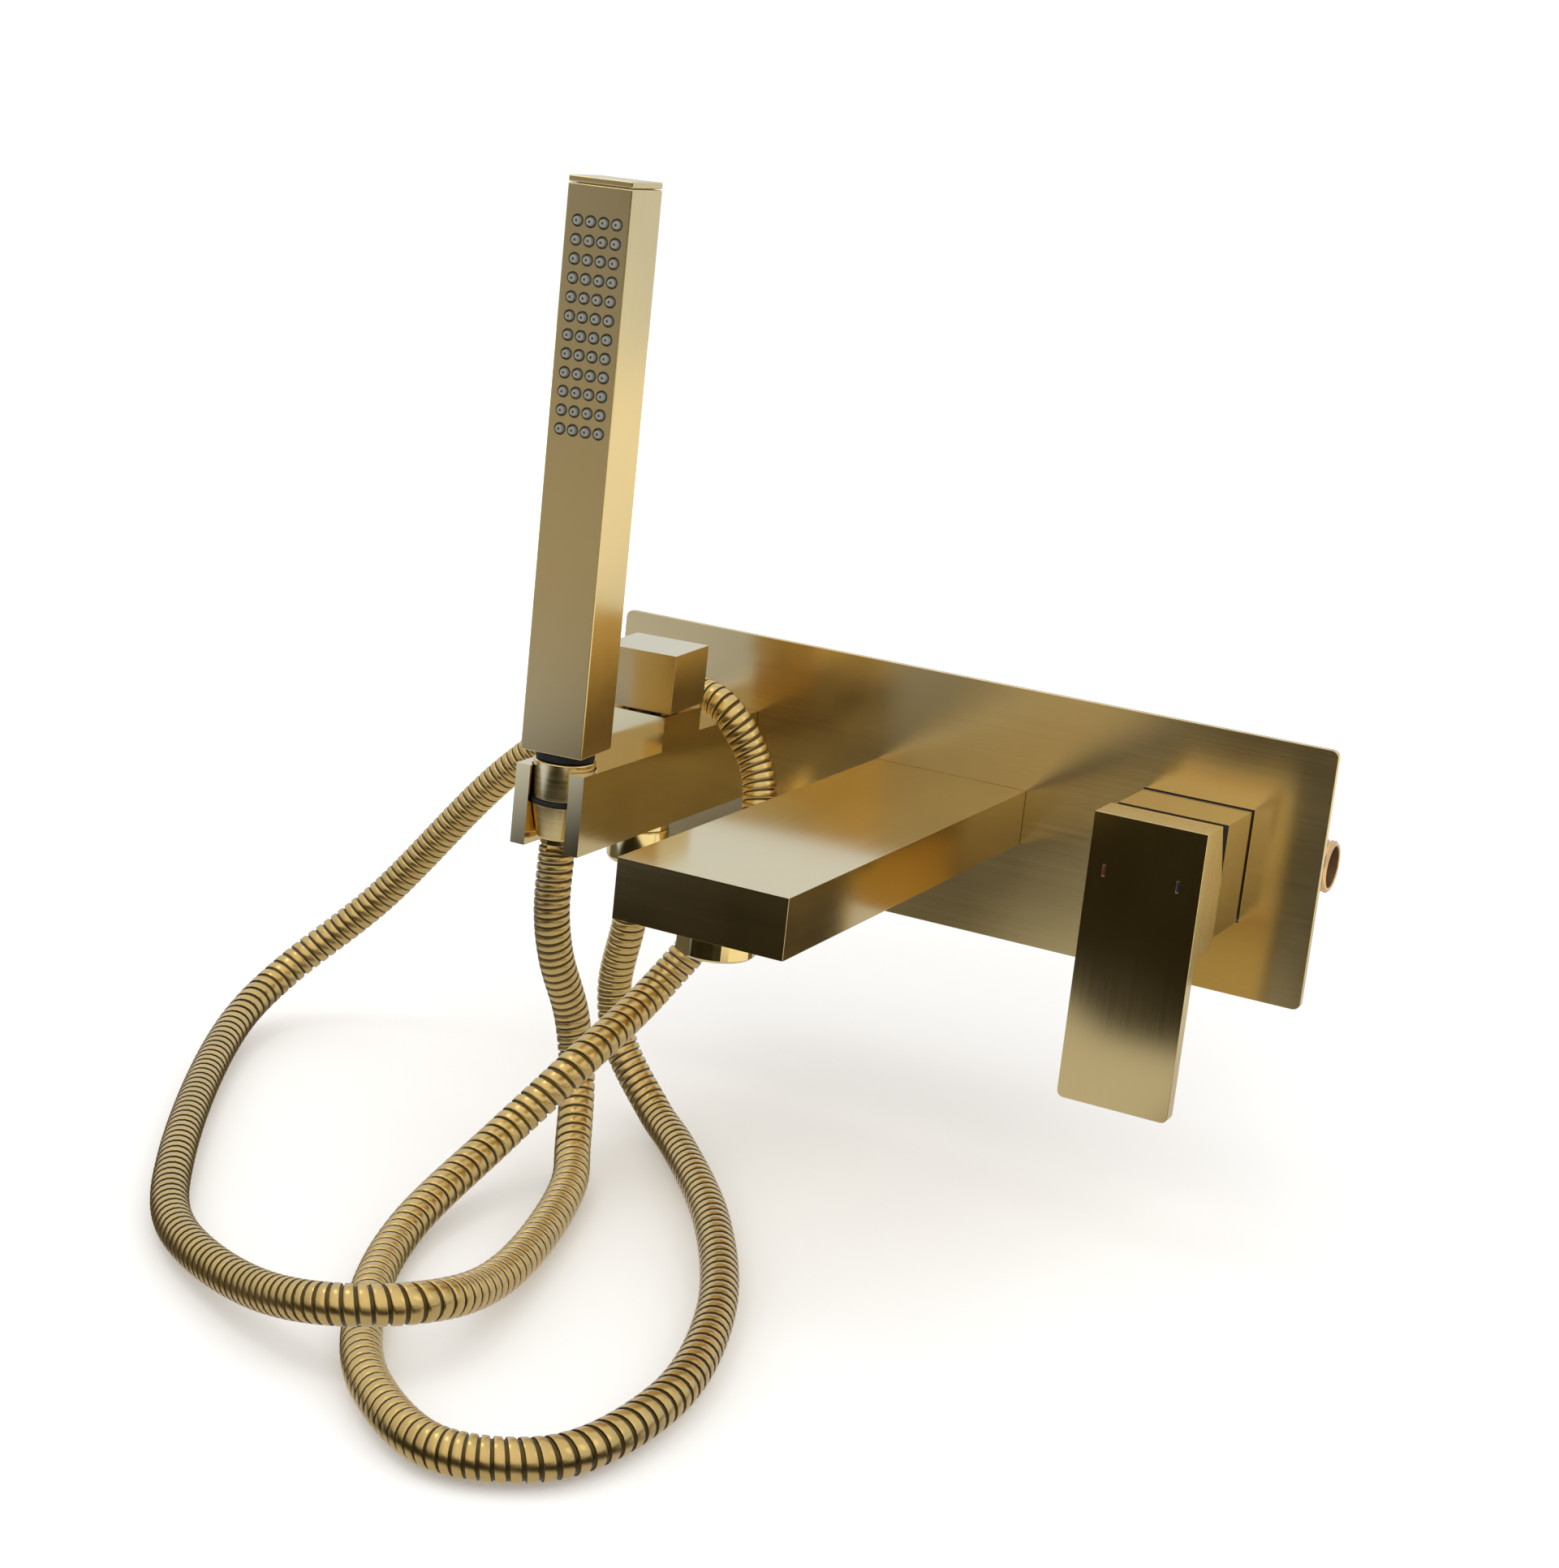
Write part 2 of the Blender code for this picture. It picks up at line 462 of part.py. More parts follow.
def make_diverter_knob():
    pivot = add_pivot("diverter_turn_axis", (-HEAD_SPACING, -TURRET_Y, 0), KNOB_YAW)
    half = KNOB_SIDE / 2
    knob = add_object("diverter_knob", box_mesh((-half, -half, KNOB_BOTTOM), (half, half, KNOB_TOP)), BRASS, pivot)
    drill(knob, "knob_recess", 11.0, KNOB_BOTTOM - 1, KNOB_BOTTOM + 2)
    drill(knob, "knob_socket", 4.3, KNOB_BOTTOM, 48.3, segments=24)
    drill(knob, "knob_screw_hole", 2.2, 2, half + 1, (0, 0, 32), "Y", 16)
    add_object("diverter_stem", rod_mesh(4.0, 18.3, 47.8, 24), STEEL, pivot)
    outline = [(0, 4.3), (1.9, 4.3), (1.9, 12), (1.0, 12), (1.0, 10.2), (0, 10.2)]
    add_object("diverter_knob_screw", turned_mesh(outline, 16), STEEL, pivot, at=(0, 0, 32), axis="Y")


# ---------------------------------------------------------------- handset and hose

def make_hose_end():
    """What stays on the hose when the handset is lifted: the cone nut, its washer and the ferrule."""
    pivot = add_pivot("handset_lift_axis", (-HEAD_SPACING, -SEAT_Y, 0))
    bottom, top = CONE_BOTTOM, NUT_RIM_Z
    outline = [(7.1, bottom), (cone_radius(bottom) - 0.5, bottom), (cone_radius(bottom + 0.6), bottom + 0.6),
               (cone_radius(top), top), (8.9, top), (8.9, -4.5), (7.1, -4.5)]
    add_object("hose_cone_nut", turned_mesh(outline), BRASS, pivot)
    add_object("cone_washer", tube_mesh(8.5, 4, -2.9, -1.6, 24), RUBBER, pivot)
    outline = [(4.5, HOSE_END_Z + GAP), (6.8, HOSE_END_Z + GAP), (6.8, -4.2), (8.5, -4.2), (8.5, -3.2), (4.5, -3.2)]
    add_object("hose_ferrule_upper", turned_mesh(outline, 24), BRASS, pivot)
    low, high = NUT_RIM_Z + GAP, COLLAR_BOTTOM - GAP
    outline = [(9.0, low + 0.4), (9.4, low), (11.1, low), (11.6, low + 0.5), (11.6, high - 0.5), (11.1, high),
               (9.4, high), (9.0, high - 0.4)]
    add_object("cone_o_ring", turned_mesh(outline), RUBBER, pivot)


def make_handset():
    pivot = add_pivot("handset_turn_axis", (-HEAD_SPACING, -SEAT_Y, 0), HANDSET_YAW)
    outline = [(4.5, -1.3), (8.6, -1.3), (8.6, COLLAR_BOTTOM), (cone_radius(COLLAR_BOTTOM), COLLAR_BOTTOM),
               (COLLAR_RADIUS, COLLAR_TOP - 0.4), (COLLAR_RADIUS - 0.4, COLLAR_TOP), (6.7, COLLAR_TOP), (6.7, 27),
               (4.5, 27)]
    add_object("handset_collar", turned_mesh(outline), BRASS, pivot)
    add_object("handset_gasket", tube_mesh(11.2, 7, COLLAR_TOP + GAP, STICK_BOTTOM - GAP), RUBBER, pivot)
    half, inner = STICK_SIDE / 2, STICK_SIDE / 2 - STICK_WALL
    shell_top = STICK_TOP - CAP_HEIGHT - GAP
    shell = add_object("handset_body", box_mesh((-half, -half, STICK_BOTTOM), (half, half, shell_top)), BRASS, pivot)
    mill(shell, "handset_cavity", (-inner, -inner, STICK_BOTTOM + 3), (inner, inner, shell_top + 1))
    drill(shell, "handset_inlet", 7, STICK_BOTTOM - 1, STICK_BOTTOM + 4, segments=24)
    cut(shell, add_object("nozzle_holes_cutter", nozzle_mesh(NOZZLE_HOLE_RADIUS, inner - 1, half + 1),
                          parent=pivot, axis="Y"))
    cap = add_object("handset_end_cap", box_mesh((-half, -half, STICK_TOP - CAP_HEIGHT), (half, half, STICK_TOP)),
                     BRASS, pivot)
    plug = add_object("cap_plug_blank", box_mesh((-inner + 0.5, -inner + 0.5, STICK_TOP - CAP_HEIGHT - 2.5),
                                                 (inner - 0.5, inner - 0.5, STICK_TOP - 1)), parent=pivot)
    plug.hide_render = True
    plug.display_type = "WIRE"
    union = cap.modifiers.new("plug", "BOOLEAN")
    union.operation = "UNION"
    union.object = plug
    make_handset_waterway(pivot, inner)


def make_handset_waterway(pivot, inner):
    """Flow tube, spray chamber and the silicone mat whose nibs come through the front."""
    low, high = NOZZLE_LOW_Z - 8, NOZZLE_LOW_Z + (NOZZLE_ROWS - 1) * NOZZLE_ROW_PITCH + 8
    add_object("handset_flow_tube", tube_mesh(5.5, 4, 27.4, low - 3, 24), PLASTIC, pivot)
    front = -inner + GAP
    mat = add_object("nozzle_mat", box_mesh((-10.2, front, low), (10.2, front + 1.5, high)), SILICONE, pivot)
    nibs = add_object("nozzle_nibs_blank", nozzle_mesh(NOZZLE_RADIUS, inner - 1.2, STICK_SIDE / 2 + NOZZLE_LIFT),
                      parent=pivot, axis="Y")
    nibs.hide_render = True
    nibs.display_type = "WIRE"
    union = mat.modifiers.new("nibs", "BOOLEAN")
    union.operation = "UNION"
    union.object = nibs
    back = front + 1.5 + GAP
    chamber = add_object("spray_chamber", box_mesh((-10.2, back, low - 2.7), (10.2, 7, high)), PLASTIC, pivot)
    mill(chamber, "chamber_pocket", (-8.7, back - 1, low - 1), (8.7, 5.5, high - 1.5))
    drill(chamber, "chamber_inlet", 4, low - 4, low, segments=24)


def nozzle_mesh(radius, near, far):
    """Rods for the whole nozzle grid along local Z, which is placed along Y: -far to -near."""
    bm = bmesh.new()
    for row in range(NOZZLE_ROWS):
        for column in range(NOZZLE_COLUMNS):
            x = (column - (NOZZLE_COLUMNS - 1) / 2) * NOZZLE_COLUMN_PITCH
            z = NOZZLE_LOW_Z + row * NOZZLE_ROW_PITCH
            rod_mesh(radius, -far, -near, 8, bm, (x, -z))
    return bm


def smooth_route(points, count):
    """Points at even steps on a centripetal Catmull-Rom curve through the route's own points."""
    vectors = [Vector(p) for p in points]
    vectors = [2 * vectors[0] - vectors[1]] + vectors + [2 * vectors[-1] - vectors[-2]]
    fine = []
    for i in range(1, len(vectors) - 2):
        p0, p1, p2, p3 = vectors[i - 1:i + 3]
        t1 = (p1 - p0).length ** 0.5
        t2 = t1 + (p2 - p1).length ** 0.5
        t3 = t2 + (p3 - p2).length ** 0.5
        for step in range(24):
            t = t1 + (t2 - t1) * step / 24
            a1 = p0 * ((t1 - t) / t1) + p1 * (t / t1)
            a2 = p1 * ((t2 - t) / (t2 - t1)) + p2 * ((t - t1) / (t2 - t1))
            a3 = p2 * ((t3 - t) / (t3 - t2)) + p3 * ((t - t2) / (t3 - t2))
            b1 = a1 * ((t2 - t) / t2) + a2 * (t / t2)
            b2 = a2 * ((t3 - t) / (t3 - t1)) + a3 * ((t - t1) / (t3 - t1))
            fine.append(b1 * ((t2 - t) / (t2 - t1)) + b2 * ((t - t1) / (t2 - t1)))
    fine.append(vectors[-2])
    along = [0.0]
    for a, b in zip(fine, fine[1:]):
        along.append(along[-1] + (b - a).length)
    even, i = [], 0
    for k in range(count):
        target = along[-1] * k / (count - 1)
        while i < len(fine) - 2 and along[i + 1] < target:
            i += 1
        share = (target - along[i]) / (along[i + 1] - along[i])
        even.append(fine[i].lerp(fine[i + 1], share))
    return even


def make_hose():
    curve = bpy.data.curves.new("shower_hose", "CURVE")
    curve.dimensions = "3D"
    curve.bevel_depth = HOSE_DIAMETER / 2 * MM
    curve.bevel_resolution = 3
    curve.use_fill_caps = True
    spline = curve.splines.new("POLY")
    points = smooth_route(HOSE_ROUTE, HOSE_SAMPLES)
    spline.points.add(len(points) - 1)
    for target, point in zip(spline.points, points):
        target.co = (*(point * MM), 1.0)
    curve.materials.append(get_material(BRASS))
    hose = bpy.data.objects.new("shower_hose", curve)
    bpy.context.scene.collection.objects.link(hose)


def main():
    clear_scene()
    make_plate()
    make_valve_body()
    make_wall_fittings()
    make_spout()
    make_mixer_head()
    make_mixer_turntable()
    make_lever()
    make_diverter_body()
    make_diverter_fittings()
    make_diverter_knob()
    make_hose_end()
    make_handset()
    make_hose()


main()
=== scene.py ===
"""Looks for the wall mounted bath faucet: camera, hose, brushed brass and studio light around the CAD frame.

Sizes are in millimetres and follow the CAD source's driving dimensions; MM turns them into metres.
What the floor and the sky show in reflections is laid out in metres.
"""

import math

import bmesh
import bpy
import numpy as np
from mathutils import Matrix, Vector


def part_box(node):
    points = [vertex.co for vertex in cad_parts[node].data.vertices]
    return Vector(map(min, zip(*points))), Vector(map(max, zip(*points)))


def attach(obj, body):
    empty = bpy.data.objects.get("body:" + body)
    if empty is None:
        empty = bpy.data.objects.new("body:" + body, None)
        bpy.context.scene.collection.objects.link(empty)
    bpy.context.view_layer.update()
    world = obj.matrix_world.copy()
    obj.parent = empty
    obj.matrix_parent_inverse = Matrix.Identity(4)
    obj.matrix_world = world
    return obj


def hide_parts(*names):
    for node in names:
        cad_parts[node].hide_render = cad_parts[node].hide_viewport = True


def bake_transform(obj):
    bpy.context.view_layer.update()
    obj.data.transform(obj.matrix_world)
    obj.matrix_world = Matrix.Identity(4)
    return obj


MM = 0.001

# Camera: place in millimetres, turn in degrees
CAMERA_PLACE = (409.42, -1018.21, 267.98)
CAMERA_TURN = (76.1154, -5.9828, 27.0014)
CAMERA_LENS, CAMERA_SENSOR = 64.077, 36.0

FLOOR_Z, FLOOR_HALF = -145.0, 3000

# Places of the three heads along the plate
HEAD_SPACING = 103.5
TURRET_Y, SEAT_Y = 69.3, 132.7
AERATOR_Y, SPOUT_HALF_HEIGHT = 197.0, 11.0
YAW = math.radians(4.7)        # diverter knob and handset, as left by hand

# Hose
HOSE_DIAMETER, HOSE_PITCH = 14.0, 3.43
HOSE_START_Z, HOSE_END_Z = -37.8, -14.9
HOSE_ROUTE = [
    (-HEAD_SPACING, -TURRET_Y, HOSE_START_Z), (-103.6, -69.3, -58), (-109.5, -66, -90), (-104.5, -66.5, -112),
    (-81, -75.5, -133.5), (-58, -96, -137), (-12, -153, -137), (27, -223, -137), (45, -292, -137),
    (36, -345, -137), (7, -361, -137), (-33, -340, -137), (-66, -297, -137), (-95, -230, -137),
    (-99, -163, -123), (-87.5, -130.5, -100.5), (-83, -78, -80), (-66, -60, -45), (-63, -46, -7),
    (-69, -42, 9), (-84.5, -43, 28.3), (-108, -36, 31), (-132, -30.5, 24), (-190, -28, -21), (-243, -42, -88),
    (-270, -68, -121), (-268, -102, -133), (-197, -232, -137), (-156, -283, -137), (-99, -316, -131),
    (-60, -325, -122.5), (-40, -307, -122.5), (-43, -252, -134), (-70, -160, -136.5), (-83, -136, -131),
    (-96, -114.5, -111.5), (-101.5, -113.5, -88), (-103.5, -126, -62), (-103.5, -132.5, -42),
    (-HEAD_SPACING, -SEAT_Y, HOSE_END_Z),
]

# Metal colours, linear
BRASS = (0.77, 0.585, 0.26)
POLISHED = (0.82, 0.63, 0.27)
HOSE_BRASS = (0.67, 0.45, 0.15)


# ---------------------------------------------------------------- mesh building

def link(name, mesh):
    """An object with this mesh, in the scene."""
    obj = bpy.data.objects.new(name, mesh)
    bpy.context.scene.collection.objects.link(obj)
    return obj


def mesh_object(name, verts, faces, smooth_deg=35):
    """An object from points in millimetres."""
    mesh = bpy.data.meshes.new(name)
    mesh.from_pydata([[c * MM for c in v] for v in verts], [], faces)
    mesh.validate()
    mesh.shade_smooth()
    mesh.set_sharp_from_angle(angle=math.radians(smooth_deg))
    return link(name, mesh)


def smooth_route(points, per_span=24):
    """A centripetal Catmull-Rom curve through the route's points, as a numpy array in millimetres."""
    p = [np.array(q, float) for q in points]
    p = [2 * p[0] - p[1]] + p + [2 * p[-1] - p[-2]]
    fine = []
    for p0, p1, p2, p3 in zip(p, p[1:], p[2:], p[3:]):
        t1 = np.linalg.norm(p1 - p0) ** 0.5
        t2 = t1 + np.linalg.norm(p2 - p1) ** 0.5
        t3 = t2 + np.linalg.norm(p3 - p2) ** 0.5
        for step in range(per_span):
            t = t1 + (t2 - t1) * step / per_span
            a1 = p0 * (t1 - t) / t1 + p1 * t / t1
            a2 = p1 * (t2 - t) / (t2 - t1) + p2 * (t - t1) / (t2 - t1)
            a3 = p2 * (t3 - t) / (t3 - t2) + p3 * (t - t2) / (t3 - t2)
            b1 = a1 * (t2 - t) / t2 + a2 * t / t2
            b2 = a2 * (t3 - t) / (t3 - t1) + a3 * (t - t1) / (t3 - t1)
            fine.append(b1 * (t2 - t) / (t2 - t1) + b2 * (t - t1) / (t2 - t1))
    fine.append(p[-2])
    return np.array(fine)


def arc_lengths(points):
    """How far along the line each of its points lies."""
    return np.concatenate([[0], np.cumsum(np.linalg.norm(np.diff(points, axis=0), axis=1))])


def read_off(table, stations, where):
    """The rows of a table given at stations along a line, read off at other places along it."""
    return np.stack([np.interp(where, stations, table[:, k]) for k in range(3)], 1)


def carried_frames(points):
    """Two unit vectors across the line at each point, carried along it without twist."""
    tangents = np.gradient(points, axis=0)
    tangents /= np.linalg.norm(tangents, axis=1)[:, None]
    side = np.cross(tangents[0], (0, 1, 0))
    sides = []
    for t in tangents:
        side = side - t * np.dot(side, t)
        side /= np.linalg.norm(side)
        sides.append(side)
    sides = np.array(sides)
    return sides, np.cross(tangents, sides)


# ---------------------------------------------------------------- hose

# One turn of the folded strip: how far along the turn, and how far out of the hose's line
HOSE_PROFILE = [(0.0, 6.60), (0.05, 6.88), (0.14, 6.97), (0.42, 7.0), (0.62, 6.97), (0.70, 6.86),
                (0.73, 6.15), (0.95, 6.05)]
HOSE_GROOVE = (5, 6, 7)          # steps of the profile that lie in the groove
HOSE_AROUND = 20                 # steps round one turn of the strip
HOSE_STEP = 1.0                  # between stations along the hose's line
HOSE_PATH_POINTS = 900           # in the path along the hose's line that make_hose returns
HOSE_DRAWN = 0.7                 # share by which the strip is drawn out where the hose lies front to back
HOSE_LOW, HOSE_LOWER = -60, -90  # heights where the drawing out begins, and where it is full


def turns_along(centre, stations):
    """How many turns the strip has made at each station, scaled to end on a whole number, and that number."""
    lying = np.clip((HOSE_LOW - centre[:, 2]) / (HOSE_LOW - HOSE_LOWER), 0, 1)
    depthwise = lying * np.gradient(centre[:, 1], stations) ** 2
    turns = np.cumsum(HOSE_STEP / (HOSE_PITCH * (1 + HOSE_DRAWN * depthwise)))
    whole = int(turns[-1])
    return (turns - turns[0]) * whole / (turns[-1] - turns[0]), whole


def make_hose():
    """The hose as one strip wound about its line, with the line's length and path in millimetres."""
    line = smooth_route(HOSE_ROUTE)
    along = arc_lengths(line)
    length = along[-1]
    stations = np.linspace(0, length, int(length / HOSE_STEP))
    centre = read_off(line, along, stations)
    side, up = carried_frames(centre)
    turns_at, whole_turns = turns_along(centre, stations)
    strips = (whole_turns - 1) * HOSE_AROUND + 1
    turn_share = np.arange(strips) / HOSE_AROUND
    angle = 2 * math.pi * turn_share
    rows = []
    for along_turn, radius in HOSE_PROFILE:
        where = np.interp(turn_share + along_turn, turns_at, stations)
        outward = (read_off(side, stations, where) * np.cos(angle)[:, None]
                   + read_off(up, stations, where) * np.sin(angle)[:, None])
        rows.append(read_off(centre, stations, where) + radius * outward)
    verts = np.stack(rows, 1).reshape(-1, 3)
    count = len(HOSE_PROFILE)
    faces, in_groove = [], []
    for i in range(strips - 1):
        for j in range(count):
            a, b = i * count + j, (i + 1) * count + j
            if j < count - 1:
                faces.append((a, b, b + 1, a + 1))
            elif i + HOSE_AROUND + 1 < strips:
                c, d = (i + HOSE_AROUND) * count, (i + HOSE_AROUND + 1) * count
                faces.append((a, b, d, c))
            else:
                continue
            in_groove.append(int(j in HOSE_GROOVE))
    hose = mesh_object("hose_coil", verts.tolist(), faces, smooth_deg=50)
    # The groove faces take the second, dark finish: partly dirt in the grooves, partly painted shade
    hose.data.polygons.foreach_set("material_index", in_groove)
    return hose, length, read_off(line, along, np.linspace(0, length, HOSE_PATH_POINTS))


# ---------------------------------------------------------------- materials

FINE, LONG = 2400.0, 5.0      # noise cells per metre across and along the brush strokes
PATCHES = 22.0                # soft patches per metre in the brushed finish
BRUSH_RELIEF, BRUSH_DEPTH, GRAIN_DEPTH = 0.008, 0.0002, 0.0003
# Noise values, and what they turn into: shares of the colour, or changes of the roughness
STROKE_TINT, PATCH_TINT = (0.25, 0.75, 0.965, 1.018), (0.3, 0.7, 0.96, 1.02)
STROKE_LIMITS, STROKE_GLOSSIER, STROKE_ROUGHER = (0.2, 0.8), 0.02, 0.03
PATCH_ROUGHNESS = (0.3, 0.7, -0.01, 0.02)
SQUARE_ON = 0.7               # from here on a face counts as looking along an axis
IN_GAP = 0.95                 # the same for a face that looks into a gap
ALONG = {"X": (1, 0, 0), "Y": (0, 1, 0), "Z": (0, 0, 1)}
# Painted shade: the dark colour that stands in for the shadow in gaps and next to the plate
PAINTED_GAP_SHADE = (0.02, 0.015, 0.008, 1)


def new_material(name, colour, roughness, metallic):
    """A material with its node tree and its shader."""
    material = bpy.data.materials.new(name)
    material.use_nodes = True
    shader = material.node_tree.nodes["Principled BSDF"]
    shader.inputs["Base Color"].default_value = (*colour, 1)
    shader.inputs["Roughness"].default_value = roughness
    shader.inputs["Metallic"].default_value = metallic
    return material, material.node_tree, shader


class Net:
    """Short calls for making and joining shader nodes."""

    def __init__(self, tree):
        self.tree = tree

    def node(self, kind, **settings):
        made = self.tree.nodes.new(kind)
        for key, value in settings.items():
            setattr(made, key, value)
        return made

    def join(self, source, target):
        self.tree.links.new(source, target)

    def feed(self, socket, value):
        if isinstance(value, bpy.types.NodeSocket):
            self.join(value, socket)
        else:
            socket.default_value = value

    def math(self, operation, first, second=0.0, third=0.0):
        made = self.node("ShaderNodeMath", operation=operation)
        for socket, value in zip(made.inputs, (first, second, third)):
            self.feed(socket, value)
        return made.outputs[0]

    def mix_vector(self, factor, first, second):
        made = self.node("ShaderNodeMix", data_type="VECTOR")
        for key, value in ((0, factor), (4, first), (5, second)):
            self.feed(made.inputs[key], value)
        return made.outputs[1]

    def mix_colour(self, factor, first, second, blend="MIX"):
        made = self.node("ShaderNodeMix", data_type="RGBA", blend_type=blend)
        for key, value in ((0, factor), (6, first), (7, second)):
            self.feed(made.inputs[key], value)
        return made.outputs[2]

    def span(self, value, low, high, to_low, to_high, smooth=False):
        """The value, carried from between low and high to between the other two, and held at its ends."""
        made = self.node("ShaderNodeMapRange")
        if smooth:
            made.interpolation_type = "SMOOTHSTEP"
        for socket, number in zip(made.inputs, (value, low, high, to_low, to_high)):
            self.feed(socket, number)
        return made.outputs[0]

    def fade(self, value, limits):
        """0 up to the first limit, 1 from the second on, smooth between them."""
        return self.span(value, *limits, 0.0, 1.0, smooth=True)

    def noise(self, vector, scale, detail=3.0, roughness=0.5):
        made = self.node("ShaderNodeTexNoise")
        self.feed(made.inputs["Vector"], vector)
        for key, number in (("Scale", scale), ("Detail", detail), ("Roughness", roughness)):
            made.inputs[key].default_value = number
        return made.outputs["Fac"]


def stretch(axis):
    """Noise cells per metre along X, Y and Z for strokes along an axis."""
    return tuple(LONG if on else FINE for on in ALONG[axis])


def brushed_metal(name, roughness, strokes, anisotropy, painted_shade_depth=None, gap_side=0, gap_foot=None, side_haze=0.0):
    """Brushed brass. The strokes run along one axis each on the front and back, side and level faces.

    Given a depth, all behind it is painted dark, dull and not metallic: painted shade where a piece meets the
    plate. Faces that look into a narrow gap, to the front (-1) or the back (+1), down to the gap's foot, get
    the same painted shade. Side haze dulls all but the front and back faces.
    """
    front, side, top = strokes
    material, tree, shader = new_material(name, BRASS, roughness, 1.0)
    net = Net(tree)
    coords = net.node("ShaderNodeTexCoord")
    split = net.node("ShaderNodeSeparateXYZ")
    net.join(coords.outputs["Normal"], split.inputs[0])
    faces_front = net.math("GREATER_THAN", net.math("ABSOLUTE", split.outputs["Y"]), SQUARE_ON)
    faces_up = net.math("GREATER_THAN", net.math("ABSOLUTE", split.outputs["Z"]), SQUARE_ON)
    scale = net.mix_vector(faces_up, net.mix_vector(faces_front, stretch(side), stretch(front)), stretch(top))
    stroke = net.mix_vector(faces_up, net.mix_vector(faces_front, ALONG[side], ALONG[front]), ALONG[top])
    scaled = net.node("ShaderNodeVectorMath", operation="MULTIPLY")
    net.join(coords.outputs["Object"], scaled.inputs[0])
    net.join(scale, scaled.inputs[1])
    hair = net.noise(scaled.outputs[0], 1.0, detail=3.0, roughness=0.6)
    cloud = net.noise(coords.outputs["Object"], PATCHES, detail=2.0)
    shade = net.math("MULTIPLY", net.span(hair, *STROKE_TINT), net.span(cloud, *PATCH_TINT))
    tone = net.mix_colour(1.0, (*BRASS, 1), shade, "MULTIPLY")
    rough = net.math("ADD", net.span(hair, *STROKE_LIMITS, roughness - STROKE_GLOSSIER,
                                     roughness + STROKE_ROUGHER), net.span(cloud, *PATCH_ROUGHNESS))
    rough = net.math("ADD", rough, net.math("MULTIPLY", net.math("SUBTRACT", 1.0, faces_front), side_haze))
    # Painted shade: faces looking into the gap, and all behind the given depth, turn dark, dull and not
    # metallic in place of the shadow there
    if painted_shade_depth is not None:
        dark = net.math("GREATER_THAN", net.math("MULTIPLY", split.outputs["Y"], gap_side), IN_GAP)
        depth = net.node("ShaderNodeSeparateXYZ")
        net.join(coords.outputs["Object"], depth.inputs[0])
        if gap_foot is not None:
            dark = net.math("MULTIPLY", dark, net.math("GREATER_THAN", depth.outputs["Z"], gap_foot))
        dark = net.math("MAXIMUM", dark, net.math("GREATER_THAN", depth.outputs["Y"], painted_shade_depth))
        tone = net.mix_colour(dark, tone, PAINTED_GAP_SHADE)
        rough = net.math("MAXIMUM", rough, dark)
        net.join(net.math("SUBTRACT", 1.0, dark), shader.inputs["Metallic"])
    net.join(tone, shader.inputs["Base Color"])
    net.join(rough, shader.inputs["Roughness"])
    relief = net.node("ShaderNodeBump")
    relief.inputs["Strength"].default_value = BRUSH_RELIEF
    relief.inputs["Distance"].default_value = BRUSH_DEPTH
    net.join(hair, relief.inputs["Height"])
    net.join(relief.outputs["Normal"], shader.inputs["Normal"])
    turn = net.node("ShaderNodeVectorTransform", vector_type="VECTOR", convert_from="OBJECT",
                    convert_to="WORLD")
    net.join(stroke, turn.inputs[0])
    net.join(turn.outputs[0], shader.inputs["Tangent"])
    shader.inputs["Anisotropic"].default_value = anisotropy
    shader.inputs["Anisotropic Rotation"].default_value = 0.25
    return material


def mottled(name, colour, roughness, metallic, scale, tint, bump, spread, squeeze=(1, 1, 1)):
    """A plain finish with fine mottling in its colour, gloss and relief.

    The scale is in cells per metre, and squeeze says how much finer the grain is along X, Y and Z.
    """
    material, tree, shader = new_material(name, colour, roughness, metallic)
    net = Net(tree)
    coords = net.node("ShaderNodeTexCoord")
    scaled = net.node("ShaderNodeVectorMath", operation="MULTIPLY")
    net.join(coords.outputs["Object"], scaled.inputs[0])
    scaled.inputs[1].default_value = squeeze
    grain = net.noise(scaled.outputs[0], scale, detail=4.0, roughness=0.6)
    shade = net.span(grain, 0.3, 0.7, 1 - tint, 1 + tint / 2)
    net.join(net.mix_colour(1.0, (*colour, 1), shade, "MULTIPLY"), shader.inputs["Base Color"])
    net.join(net.span(grain, 0.3, 0.7, roughness - spread, roughness + spread), shader.inputs["Roughness"])
    relief = net.node("ShaderNodeBump")
    relief.inputs["Strength"].default_value = bump
    relief.inputs["Distance"].default_value = GRAIN_DEPTH
    net.join(grain, relief.inputs["Height"])
    net.join(relief.outputs["Normal"], shader.inputs["Normal"])
    return material


# ---------------------------------------------------------------- turned pieces

ON_AXIS = 1e-6                # a smaller radius than this lies on the axis
FILLET_SHARE = 0.45           # the most of an edge that the fillet at one end may take
SAME_PLACE, NO_LENGTH = 1e-7, 1e-8      # in metres


def filleted(outline, radius, steps=4):
    """A closed outline with every corner off the axis rounded, as far as the edges beside it allow."""
    points = [Vector(p) for p in outline]
    rounded = []
    for before, corner, after in zip(points[-1:] + points, points, points[1:] + points[:1]):
        back, on = before - corner, after - corner
        reach = min(radius, FILLET_SHARE * back.length, FILLET_SHARE * on.length)
        if corner.x < ON_AXIS:
            rounded.append(tuple(corner))
            continue
        start, end = corner + back.normalized() * reach, corner + on.normalized() * reach
        for step in range(steps + 1):
            t = step / steps
            rounded.append(tuple(start * (1 - t) ** 2 + corner * 2 * t * (1 - t) + end * t * t))
    return rounded


